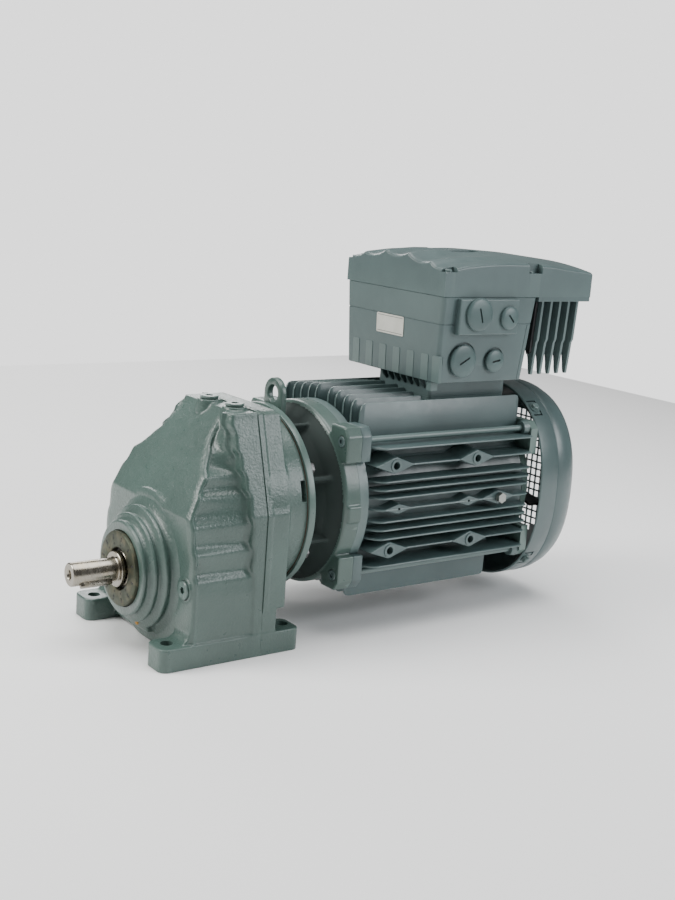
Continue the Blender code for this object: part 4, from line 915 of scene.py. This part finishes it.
def make_frame():
    start = FRAME_X + GAP
    profile = [
        (80.3, FRAME_END_X), (91.0, FRAME_END_X), (92.0, FRAME_END_X - 1.0), (90.0, 470.0), (90.0, 250.0),
        (94.0, 247.0), (101.0, 245.0), (103.0, 243.5), (103.0, start), (80.3, start),
    ]
    frame_drum = solid("finned_frame", put_turned, profile, (0.0, 0.0, MOTOR_Z), 128)
    fins = bmesh.new()
    for height in FLANK_FINS:
        root = math.sqrt(86.0 ** 2 - height ** 2)
        front = 250.0 if abs(height) < 60.0 else 246.5
        for side in (-1.0, 1.0):
            put_loops(fins, flank_fin_loops(side, height, front, FIN_EDGE_Y, root))
    join(frame_drum, new_object("fins", fins))
    fins = bmesh.new()
    for y in UPRIGHT_FINS:
        root = math.sqrt(87.0 ** 2 - y ** 2)
        top = table(y, ((12.0, 119.0), (72.0, 111.0)))
        end = FRAME_END_X - 2.0 if y > 60.0 else 345.0
        for side in (-y, y):
            put_loops(fins, upright_fin_loops(side, 1.0, 246.0, end, root, top))
            put_loops(fins, upright_fin_loops(side, -1.0, 241.0, 449.0, root, 107.0))
    join(frame_drum, new_object("fins", fins))
    lugs = bmesh.new()
    put_lugs(lugs, start, 245.5)
    lugs = bevel(new_object("lugs", lugs), 1.5, 3, 30.0)
    cut(lugs, box_body(((start - 5.0, -120.0, 0.0), (start, 120.0, 290.0))))
    join(frame_drum, lugs)
    pedestal = neck_body("pedestal", 5.0, 200.0, 256.0)
    cut(pedestal, rod_body([(340.0, 0.0, MOTOR_Z)], 140.0, 85.0, "X", 64))
    join(frame_drum, pedestal)
    bosses = bmesh.new()
    collars = bmesh.new()
    holes = bmesh.new()
    middle = MOTOR_Z + MIDDLE_FIN
    for side in (-1.0, 1.0):
        for x, height in BIG_BOSSES:
            put_boss(bosses, side, x, MOTOR_Z + height, 9.0, 26.0, 76.0, 106.0)
            put_rod(collars, (x, 98.0 if side > 0.0 else -107.0, MOTOR_Z + height), 9.0, 7.0, "Y", 40)
            put_rod(holes, (x, side * 100.0 - 7.0, MOTOR_Z + height), 14.0, 4.3, "Y", 28)
        for x, reach in SMALL_BOSSES:
            put_boss(bosses, side, x, middle, 5.6, reach, 82.0, 104.5)
            put_rod(holes, (x, side * 101.0 - 6.0, middle), 12.0, 1.5, "Y", 16)
        put_boss(bosses, side, EARTH_BOLT_X, middle, 8.0, 26.0, 82.0, 104.5)
        put_rod(holes, (EARTH_BOLT_X, side * 101.0 - 12.0, MOTOR_Z - 2.0), 24.0, 3.4, "Y", 20)
    join(frame_drum, new_object("bosses", bosses), new_object("collars", collars))
    ends = bmesh.new()
    for _, y, z in rod_places(0.0):
        put_rod(ends, (474.0, y, z), FRAME_END_X - 474.0, 8.0, "X", 40, 9.0)
        spoke = put_box(ends, (474.5, y - 4.0, z - 7.0), (481.5, y + 4.0, z + 7.0))
        bmesh.ops.translate(ends, verts=spoke, vec=Vector((0.0, -0.000006 * y, 0.0)))
    join(frame_drum, new_object("ends", ends))
    rod_holes = rod_body(rod_places(225.0), 262.0, ROD_RADIUS + 0.3, "X", 20)
    wire_way = rod_body([(400.0, -10.0, 215.0)], 60.0, 12.0, "Z", 32)
    cut(frame_drum, new_object("holes", holes), rod_holes, wire_way)
    place_piece(shade(frame_drum, 32.0), FRAME, "stator_frame")


def make_tie_rods():
    for number, (x, y, z) in enumerate(rod_places(214.0), start=1):
        rod = rod_body([(x, y, z)], 277.0, ROD_RADIUS, "X", 32)
        rod.name = "stay_rod_%d" % number
        profile = [(0.0, 5.0), (5.8, 5.0), (5.8, 0.6), (5.2, 0.0), (3.0, 0.0), (3.0, 3.0), (0.0, 3.0)]
        head = solid("head", put_turned, profile, (x - 1.8, y, z), 32)
        join(rod, head)
        place_piece(shade(rod), FRAME, "tie_rod_%d" % number)


# --- Cowl -------------------------------------------------------------------------------------
COWL_HALF = (111.0, 122.5)
COWL_Z = 141.5
COWL_POWER = 2.0 / 2.4
COWL_INNER_X = 564.2
COWL_FIXINGS = ((504.0, 130.0), (504.0, 221.0), (504.0, 50.0), (504.0, 319.0))
GRILLE_PITCH = 9.0
GRILLE_BAR = 1.7
GRILLE_HUB = 13.0
GRILLE_RADIUS = 80.0


def cowl_spot(angle, inset=0.0):
    """The cowl's outline in y and z: a soft square, drawn in by the inset."""
    c, s = math.cos(angle), math.sin(angle)
    y = (COWL_HALF[0] - inset) * math.copysign(abs(c) ** COWL_POWER, c)
    z = (COWL_HALF[1] - inset) * math.copysign(abs(s) ** COWL_POWER, s)
    return y, COWL_Z + z


def cowl_loop(x, inset, steps=144):
    return [(x, *cowl_spot(math.tau * (i + 0.5) / steps, inset)) for i in range(steps)]


def make_cowl():
    """Sheet cowl with a joggle, a rounded rear and a square-mesh air grille."""
    outer = [(495.0, 1.0), (496.0, 0.2), (521.0, 0.2), (522.0, 0.6), (523.5, 0.0), (535.0, 0.5),
             (546.0, 3.2), (554.0, 7.2), (560.0, 12.5), (564.0, 18.0), (565.6, 22.0), (566.0, 26.0)]
    inner = [(COWL_INNER_X, 27.0), (563.4, 23.5), (560.0, 17.0), (555.0, 11.0), (546.0, 6.5), (535.0, 3.0),
             (523.0, 2.2), (497.0, 2.2), (495.0, 2.0)]
    shape = bmesh.new()
    loops = [cowl_loop(x, inset) for x, inset in outer]
    loops.append([(566.0, y * 0.5, COWL_Z + (z - COWL_Z) * 0.5) for _, y, z in loops[-1]])
    loops.append([(COWL_INNER_X, y, z) for _, y, z in loops[-1]])
    put_cowl_skin(shape, loops + [cowl_loop(x, inset) for x, inset in inner])
    cowl = new_object("ventilated_cowl", shape)
    cells = bmesh.new()
    half = (GRILLE_PITCH - GRILLE_BAR) / 2
    steps = [i * GRILLE_PITCH for i in range(-9, 10)]
    for y in steps:
        for height in steps:
            if GRILLE_HUB < math.hypot(y, height) < GRILLE_RADIUS:
                z = MOTOR_Z + height
                put_box(cells, (556.0, y - half, z - half), (570.0, y + half, z + half))
    cut(cowl, new_object("cells", cells), cowl_slots())
    place_piece(shade(cowl, 38.0), SHEET, "fan_cowl")


def put_cowl_skin(shape, loops):
    """Close the cowl's skin: the outer loops run to a flat rear, the inner ones run back."""
    rows = [[shape.verts.new(at(*spot)) for spot in loop] for loop in loops]
    count = len(rows[0])
    half = next(i for i, loop in enumerate(loops) if i and loop[0][0] == COWL_INNER_X)
    for number in range(len(rows)):
        if number + 1 == half:
            continue
        low, high = rows[number], rows[(number + 1) % len(rows)]
        for i in range(count):
            j = (i + 1) % count
            shape.faces.new((low[i], low[j], high[j], high[i]))
    shape.faces.new(rows[half - 1])
    shape.faces.new(rows[half])


def cowl_frame(degrees):
    """Place and axes of the cowl's skin at an angle round it: along x, round it and outward."""
    def spot(turn):
        return Vector((0.0, *cowl_spot(turn)))
    angle = math.radians(degrees)
    round_it = (spot(angle + 0.01) - spot(angle - 0.01)).normalized()
    outward = round_it.cross(Vector((1.0, 0.0, 0.0)))
    if outward.dot(spot(angle) - Vector((0.0, 0.0, COWL_Z))) < 0.0:
        outward = -outward
    return spot(angle), round_it, outward


def put_on_cowl(shape, degrees, verts, x):
    """Move fresh vertices, made round the origin in millimetres, on to the cowl's skin."""
    place, round_it, outward = cowl_frame(degrees)
    for vert in verts:
        along, across, up = vert.co
        spot = place + round_it * across + outward * up
        vert.co = at(x + along, spot.y, spot.z)
    faces = {face for vert in verts for face in vert.link_faces}
    bmesh.ops.recalc_face_normals(shape, faces=list(faces))


def raw_prism(shape, outline, low, high):
    """Fresh prism round the origin, in millimetres, to be moved on to the cowl."""
    loops = [[shape.verts.new((along, across, up)) for along, across in outline] for up in (low, high)]
    shape.faces.new(loops[0])
    shape.faces.new(loops[1])
    for i in range(len(outline)):
        j = (i + 1) % len(outline)
        shape.faces.new((loops[0][i], loops[0][j], loops[1][j], loops[1][i]))
    return loops[0] + loops[1]


def raw_disc(shape, low, height, radius, steps, end_radius):
    matrix = Matrix.Translation((0.0, 0.0, low + height / 2))
    return bmesh.ops.create_cone(
        shape, cap_ends=True, segments=steps, radius1=radius, radius2=end_radius, depth=height,
        matrix=matrix,
    )["verts"]


def cowl_slots():
    """Bracket-shaped slots in the cowl round each fixing screw."""
    slots = bmesh.new()
    for x, degrees in COWL_FIXINGS:
        for side in (-1.0, 1.0):
            bracket = [(-6.0, 9.0), (6.2, 9.0), (6.2, 4.0), (8.2, 4.0), (8.2, 11.0), (-6.0, 11.0)]
            outline = [(along, side * across) for along, across in bracket]
            put_on_cowl(slots, degrees, raw_prism(slots, outline, -8.0, 8.0), x)
    return new_object("slots", slots)


SCREW_STACK = (
    # low end, height, radius, sides, radius of the far end: shank, washer, head and its chamfer
    (-6.0, 7.0, 2.5, 16, 2.5),
    (0.0, 1.0, 6.2, 32, 6.2),
    (1.0, 3.4, 4.6, 6, 4.6),
    (4.4, 0.5, 4.4, 6, 3.6),
)


def make_cowl_screws():
    """Hexagon screws with washers, each with a dark sheet of painted shade behind its slots."""
    for number, (x, degrees) in enumerate(COWL_FIXINGS, start=1):
        shape = bmesh.new()
        for disc in SCREW_STACK:
            put_on_cowl(shape, degrees, raw_disc(shape, *disc), x)
        # A dark sheet under the skin, behind the bracket slots, is painted shade
        slot_shade = bmesh.new()
        outline = [(-8.0, -12.5), (10.0, -12.5), (10.0, 12.5), (-8.0, 12.5)]
        put_on_cowl(slot_shade, degrees, raw_prism(slot_shade, outline, -4.6, -3.2), x)
        place_piece(new_object("cowl_slot_shade_%d" % number, slot_shade), SLOT_PAINTED_SHADE, "fan_cowl", extra=True)
        place_piece(new_object("cowl_screw_%d" % number, shape), FRAME, "fan_cowl", extra=True)


# --- Inverter ---------------------------------------------------------------------------------
BOX_LOW = (340.9, 471.0, 83.4)
BOX_HIGH = (337.0, 479.0, 88.6)
PLUGS = (
    # node, x, z, radius, seat y, slot direction along x and z, slot length
    ("cable_plug_upper_large", 384.0, 354.0, 18.5, -95.0, (0.31, -0.95), 15.5),
    ("cable_plug_upper_small", 430.0, 350.0, 13.0, -95.0, (0.70, -0.71), 11.0),
    ("cable_plug_lower_large", 374.0, 301.0, 18.5, -85.5, (0.88, 0.47), 15.0),
    ("cable_plug_lower_small", 422.0, 300.0, 13.0, -85.5, (0.98, 0.18), 11.0),
)
EDGE_HEIGHTS = (
    (336.0, 400.4), (349.0, 402.7), (370.0, 406.3), (400.0, 409.0), (430.0, 410.0), (461.0, 410.0),
    (502.0, 407.8), (535.0, 404.2), (560.0, 402.4), (566.0, 401.4),
)
CREST_HEIGHTS = (
    (336.0, 415.0), (341.0, 416.6), (378.0, 419.2), (432.0, 419.4), (497.0, 416.6), (565.0, 410.3),
)
PILASTERS = 7
PILASTER_PITCH = 25.5
RIBS = 8
RIB_PITCH = 11.5
HEAT_SINK_HALF = 1.7           # half the thickness of a heat-sink fin
HEAT_SINK_XS = (490.5, 504.8, 519.1, 533.4, 547.7)
COVER_HALF = 89.0
RIB_OUTLINE = ((342.5, 277.5), (354.0, 277.5), (354.0, 264.0), (350.0, 266.0), (344.0, 272.5))


def box_wall(z):
    """The housing's x from, x to and half width at a height, along its leaning walls."""
    share = (z - BOX_BOTTOM_Z) / (BOX_SPLIT_Z - BOX_BOTTOM_Z)
    return [low + (high - low) * share for low, high in zip(BOX_LOW, BOX_HIGH)]


def box_loop(z, shrink, radius=5.0):
    x_from, x_to, half = box_wall(z)
    outline = rounded_rectangle((x_from + shrink, -half + shrink), (x_to - shrink, half - shrink), radius)
    return [(x, y, z) for x, y in outline]


def make_terminal_box():
    top = BOX_SPLIT_Z - GAP
    levels = [
        (BOX_BOTTOM_Z, 0.8), (BOX_BOTTOM_Z + 0.3, 0.3), (BOX_BOTTOM_Z + 1.0, 0.0),
        (PARTING_Z - 0.7, 0.0), (PARTING_Z - 0.35, 0.55), (PARTING_Z + 0.35, 0.55), (PARTING_Z + 0.7, 0.0),
        (top - 0.6, 0.0), (top, 0.45),
    ]
    housing = solid("inverter_housing", put_loops, [box_loop(z, shrink) for z, shrink in levels])
    neck = neck_body("neck", 4.0, 256.3, 279.0)
    plate = bevel(box_body(((357.0, -95.0, 331.0), (446.0, -80.0, 371.0))), 1.6, 3)
    join(housing, neck, plate)
    pilasters = bmesh.new()
    for number in range(PILASTERS):
        y = 66.0 - PILASTER_PITCH * number + (6.0 if number == PILASTERS - 1 else 0.0)
        loops = []
        for z, half in ((BOX_BOTTOM_Z + 0.9, 6.2), (305.0, 6.2), (306.5, 4.8)):
            wall = box_wall(z)[0]
            face, root = wall - 0.5, wall + 3.0
            loops.append([
                (face, y - half, z), (face, y + half, z), (root, y + half + 0.8, z),
                (root, y - (half + 0.8), z),
            ])
        put_loops(pilasters, loops)
    join(housing, new_object("pilasters", pilasters))
    ribs = bmesh.new()
    for number in range(RIBS):
        y = 18.0 - RIB_PITCH * number
        put_prism(ribs, RIB_OUTLINE, y - 1.2, y + 1.2, "Y")
    put_box(ribs, (343.0, -72.5, 265.5), (352.5, -64.5, 277.5))
    join(housing, new_object("ribs", ribs))
    lower = rounded_rectangle((346.0, -78.0), (465.0, 78.0), 5.0)
    lower_room = solid("cutter", put_prism, lower, 282.0, 330.0, "Z")
    upper = rounded_rectangle((343.0, -82.0), (473.0, 82.0), 5.0)
    upper_room = solid("cutter", put_prism, upper, 325.0, 380.0, "Z")
    throat = box_body(((360.0, NECK_Y[0] + 8.0, 250.0), (460.0, NECK_Y[1] - 8.0, 290.0)))
    cut(housing, lower_room, upper_room, throat)
    grooves = bmesh.new()
    for x_low, x_high, z_low, z_high in ((462.5, 463.1, 277.0, 341.0), (346.8, 347.3, 277.5, 306.0)):
        fresh = put_box(grooves, (x_low, -100.0, z_low), (x_high, -50.0, z_high))
        for vert in fresh:
            wall = box_wall(vert.co.z / MILLIMETRE)
            lean = (wall[1] - BOX_LOW[1]) if x_low > 400.0 else (wall[0] - BOX_LOW[0])
            vert.co.x += lean * MILLIMETRE
            if vert.co.y > -0.060:
                vert.co.y = (-wall[2] + 0.6) * MILLIMETRE
    cut(housing, new_object("grooves", grooves))
    for _, x, z, radius, seat, _, _ in PLUGS:
        if seat > -90.0:
            depth_y = -box_wall(z)[2] + 0.9
            cut(housing, rod_body([(x, depth_y - 20.0, z)], 20.0, radius + 2.4, "Y", 64))
        cut(housing, rod_body([(x, -110.0, z)], 40.0, radius - 5.0, "Y", 40))
    place_piece(even_shading(housing), BOX, "terminal_box")


def put_turned_box(shape, low, high, angle, place):
    """A box round the origin, turned about y and moved to its place."""
    origin = at(0.0, 0.0, 0.0)
    fresh = put_box(shape, low, high)
    bmesh.ops.rotate(shape, verts=fresh, cent=origin, matrix=Matrix.Rotation(angle, 3, "Y"))
    bmesh.ops.translate(shape, verts=fresh, vec=at(*place) - origin)


def make_cable_plugs():
    """Domed closing plugs with a driver slot and a small round end to it."""
    shadows = bmesh.new()
    for node, x, z, radius, seat, direction, length in PLUGS:
        profile = [
            (0.0, 12.0), (radius - 5.5, 12.0), (radius - 5.5, 0.0), (radius - 0.4, 0.0), (radius, -0.5),
            (radius, -2.7), (radius - 0.9, -3.6), (radius * 0.80, -4.2), (radius * 0.55, -4.7),
            (radius * 0.28, -5.0), (0.0, -5.1),
        ]
        plug = solid(node + "_cap", put_turned, profile, (x, seat, z), 72, "Y")
        angle = -math.atan2(direction[1], direction[0])
        half = length / 2
        slot = bmesh.new()
        put_turned_box(slot, (-half, -8.0, -1.1), (half, -2.2, 1.1), angle, (x, seat, z))
        tip = (x + direction[0] * half, seat - 8.0, z + direction[1] * half)
        cut(plug, new_object("slot", slot), rod_body([tip], 4.7, 1.25, "Y", 16))
        place_piece(shade(plug), PLUG_PLASTIC, node)
        # A dark sheet at each slot's floor is painted shade that makes the slot read deep
        low, high = (-half + 0.1, -3.1, -1.05), (half - 0.1, -2.4, 1.05)
        put_turned_box(shadows, low, high, angle, (x, seat, z))
    place_piece(new_object("plug_slot_painted_shade", shadows), SLOT_PAINTED_SHADE, "cable_plug_upper_large", extra=True)


def cover_height(x, y):
    """Top of the cover: arched both ways, with flutes that fade away from the front."""
    edge = table(x, EDGE_HEIGHTS)
    crest = table(x, CREST_HEIGHTS)
    height = edge + (crest - edge) * (1.0 - (y / COVER_HALF) ** 2)
    across = (abs(y) + 20.0) / 40.0
    share = across - math.floor(across)
    fade = (1.0 - ease(x, 340.0, 455.0)) * (1.0 - ease(abs(y), 58.0, 88.0))
    height -= 5.4 * 4.0 * share * (1.0 - share) * fade
    edge_gap = min(COVER_HALF - abs(y), x - COVER_X[0], COVER_X[1] - x)
    if edge_gap < 2.5:
        height -= 2.5 - math.sqrt(max(0.0, 2.5 ** 2 - (2.5 - edge_gap) ** 2))
    return height


def spread(low, high, steps, margin=3.0, fine=5):
    """Stations between two ends, finer near both ends."""
    near = [low + margin * (1.0 - math.cos(math.pi / 2 * i / fine)) for i in range(fine)]
    middle = [low + margin + (high - low - 2 * margin) * i / steps for i in range(steps + 1)]
    return near + middle + [high - (value - low) for value in reversed(near)]


def make_cover():
    shape = bmesh.new()
    xs = spread(*COVER_X, 96)
    ys = spread(-COVER_HALF, COVER_HALF, 84)
    bottom = BOX_SPLIT_Z + GAP
    grid = [[shape.verts.new(at(x, y, cover_height(x, y))) for y in ys] for x in xs]
    for first, second in zip(grid, grid[1:]):
        for j in range(len(ys) - 1):
            shape.faces.new((first[j], first[j + 1], second[j + 1], second[j]))
    rim = grid[0] + [row[-1] for row in grid[1:]] + grid[-1][-2::-1] + [row[0] for row in grid[-2:0:-1]]
    skirt = []
    for vert in rim:
        skirt.append(shape.verts.new((vert.co.x, vert.co.y, bottom * MILLIMETRE)))
    for i in range(len(rim)):
        j = (i + 1) % len(rim)
        shape.faces.new((rim[i], rim[j], skirt[j], skirt[i]))
    shape.faces.new(skirt)
    cover = new_object("fluted_inverter_cover", shape)
    overhang = bevel(box_body(((481.0, -88.8, 367.6), (COVER_X[1] - 0.3, 88.8, 380.0))), 0.6, 2)
    join(cover, overhang)
    fins = bmesh.new()
    arch = arc_points((0.0, 281.0), (74.5, 72.0), [5.0 * i for i in range(1, 36)])
    leg = [(87.5, 375.0), (84.8, 322.0), (82.9, 318.5), (79.6, 282.0), (79.0, 280.5), (76.4, 280.5),
           (75.6, 282.0)]
    outline = leg + arch + [(-y, z) for y, z in reversed(leg)]
    for x in HEAT_SINK_XS:
        put_prism(fins, outline, x - HEAT_SINK_HALF, x + HEAT_SINK_HALF)
    join(cover, new_object("fins", fins))
    hollow = box_body(((343.0, -82.0, 360.0), (474.0, 82.0, 396.0)))
    pockets = bmesh.new()
    put_both(pockets, (80.5, 95.0), 330.0, 353.0, 399.5, 408.0)
    put_both(pockets, (81.0, 95.0), 461.5, 482.5, 399.6, 420.0)
    cut(cover, hollow, new_object("pockets", pockets))
    relief = bmesh.new()
    for y in (22.0, -22.0):
        outline = rounded_rectangle((397.0, y - 7.0), (439.0, y + 7.0), 6.9)
        put_prism(relief, outline, 416.2, 430.0, "Z")
    cut(cover, new_object("relief", relief))
    place_piece(even_shading(cover), BOX, "inverter_cover")
    # The first heat-sink fin sits in shadow; its near-black material is painted shade
    half_fin = [(82.0, 366.0), (79.0, 307.0), (74.0, 304.0), (60.0, 336.0)]
    outline = half_fin + [(-y, z) for y, z in reversed(half_fin)]
    shaded_rear_fin = solid("rear_fin_painted_shade", put_prism, outline, 484.2, 487.4)
    place_piece(shaded_rear_fin, BLACK_PLASTIC_AND_SHADE, "inverter_cover", extra=True)


def make_cover_screws():
    places = [(343.5, -84.6, 399.6), (343.5, 84.6, 399.6), (467.0, -84.8, 399.7), (467.0, 84.8, 399.7)]
    profile = [(0.0, 0.0), (3.8, 0.0), (3.8, 2.2), (3.3, 2.8), (0.0, 2.8)]
    for number, (x, y, z) in enumerate(places, start=1):
        screw = solid("cover_screw_%d" % number, put_turned, profile, (x, y, z), 32, "Z")
        cut(screw, rod_body([(x, y, z + 1.2)], 4.0, 1.9, "Z", 6))
        place_piece(shade(screw), BOX, "inverter_cover", extra=True)


def put_on_front(shape, outline, gaps):
    """Thin plate along the housing's leaning front, from one gap before it to another."""
    put_loops(shape, [[(box_wall(z)[0] - gap, y, z) for y, z in outline] for gap in gaps])


def make_label():
    """Blank sticker with round corners and two thin printed rules, on the housing's front."""
    outline = rounded_rectangle((-21.5, 319.5), (27.8, 342.0), 1.8)
    label = solid("blank_label", put_on_front, outline, (0.3, 0.75))
    place_piece(shade(label), LABEL, "label_plate")
    ink = bmesh.new()
    for low, high in ((339.6, 340.1), (321.4, 321.9)):
        put_on_front(ink, [(-19.5, low), (25.8, low), (25.8, high), (-19.5, high)], (0.7, 0.82))
    place_piece(new_object("label_rules", ink), LABEL_INK, "label_plate", extra=True)


# --- Studio -----------------------------------------------------------------------------------
def make_camera():
    """Camera from its place and its turns about the vertical, the horizon and its own axis."""
    place = Vector((-856.62, -1161.98, 499.12)) * MILLIMETRE
    azimuth, elevation, roll = (math.radians(a) for a in (-36.96, 12.11, 4.19))
    level = math.cos(elevation)
    back = Vector((math.sin(azimuth) * level, -math.cos(azimuth) * level, math.sin(elevation)))
    right = (-back).cross(Vector((0.0, 0.0, 1.0))).normalized()
    up = right.cross(-back)
    across = math.cos(roll) * right + math.sin(roll) * up
    upward = -math.sin(roll) * right + math.cos(roll) * up
    camera = bpy.data.objects.new("camera", bpy.data.cameras.new("camera"))
    camera.matrix_world = Matrix((
        (across.x, upward.x, back.x, place.x), (across.y, upward.y, back.y, place.y),
        (across.z, upward.z, back.z, place.z), (0.0, 0.0, 0.0, 1.0),
    ))
    camera.data.lens = 52.03
    camera.data.sensor_width = 36.0
    camera.data.clip_end = 50.0
    bpy.context.scene.collection.objects.link(camera)
    bpy.context.scene.camera = camera


def add_area_light(name, place, target, size, power, colour):
    light = bpy.data.lights.new(name, "AREA")
    light.shape = "RECTANGLE"
    light.size, light.size_y = size
    light.energy = power
    light.color = colour
    obj = bpy.data.objects.new(name, light)
    obj.location = place
    obj.rotation_euler = (Vector(target) - Vector(place)).to_track_quat("-Z", "Y").to_euler()
    bpy.context.scene.collection.objects.link(obj)


LIGHTS = (
    # name, place and target in metres, size, power, colour
    ("key_light", (-1.9, 0.8, 1.5), (0.0, 0.0, 0.12), (1.2, 1.4), 54.0, (1.0, 1.0, 0.97)),
    ("top_light", (0.1, -0.1, 2.4), (0.0, 0.0, 0.1), (2.0, 2.0), 64.0, (1.0, 1.0, 1.0)),
    ("side_light", (0.95, -1.2, 0.85), (0.18, 0.0, 0.28), (0.8, 0.8), 14.0, (0.94, 0.97, 1.0)),
    ("back_light", (0.6, 2.2, 1.2), (0.0, 0.0, 0.15), (1.4, 1.2), 25.0, (1.0, 1.0, 1.0)),
)


def make_studio():
    shape = bmesh.new()
    bmesh.ops.create_grid(shape, x_segments=1, y_segments=1, size=1.7)
    bmesh.ops.translate(shape, verts=shape.verts, vec=(0.0, 0.0, -0.0003))
    floor_material = new_material("floor_white", (0.97, 0.97, 0.97), 0.9)[0]
    new_object("studio_floor", shape, floor_material)
    world = bpy.data.worlds.new("studio")
    world.use_nodes = True
    background = world.node_tree.nodes["Background"]
    background.inputs["Color"].default_value = (1.0, 1.0, 1.0, 1.0)
    background.inputs["Strength"].default_value = 0.16
    backdrop = world.node_tree.nodes.new("ShaderNodeBackground")
    backdrop.inputs["Strength"].default_value = 2.3
    rays = world.node_tree.nodes.new("ShaderNodeLightPath")
    blend = world.node_tree.nodes.new("ShaderNodeMixShader")
    links = world.node_tree.links
    links.new(rays.outputs["Is Camera Ray"], blend.inputs[0])
    links.new(background.outputs[0], blend.inputs[1])
    links.new(backdrop.outputs[0], blend.inputs[2])
    links.new(blend.outputs[0], world.node_tree.nodes["World Output"].inputs["Surface"])
    bpy.context.scene.world = world
    for light in LIGHTS:
        add_area_light(*light)


# --- Carried-over nodes -----------------------------------------------------------------------
NODE_MATERIALS = (
    # the first row with a word that is in the node's name holds
    (BRIGHT_STEEL, ("bearing", "output_gear", "pinion", "gear_key", "motor_shaft")),
    (COPPER, ("winding",)),
    (LAMINATIONS, ("rotor_core", "stator_core")),
    (FLANGE, ("fan_end_shield",)),
    (FRAME, ("fan_cowl",)),
    (BLACK_PLASTIC_AND_SHADE, ("fan", "terminal_block")),
    (BOARD, ("inverter_board",)),
    (DARK_STEEL, ("gear_retaining_ring", "flange_bolt")),
    (ZINC, ("earth_bolt",)),
    (LABEL, ("label_plate",)),
    (PLUG_PLASTIC, ("cable_plug",)),
    (BOX, ("terminal_box", "inverter_cover")),
)


def node_material(name):
    if name.endswith("_seal"):
        return RUBBER
    for material, words in NODE_MATERIALS:
        if any(word in name for word in words):
            return material
    return FRAME


def finish_nodes():
    """Give each node of the frame its material."""
    for name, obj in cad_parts.items():
        for slot in obj.material_slots:
            slot.material = node_material(name)


make_camera()
make_studio()
finish_nodes()
make_front_casting()
make_rear_casting()
make_output_shaft()
make_seal_disc()
make_drain_item()
make_oil_plugs()
make_lifting_eye()
make_shield()
make_flange_bolts()
make_frame()
make_tie_rods()
make_joint_line()
make_cowl()
make_cowl_screws()
make_terminal_box()
make_cable_plugs()
make_cover()
make_cover_screws()
make_label()
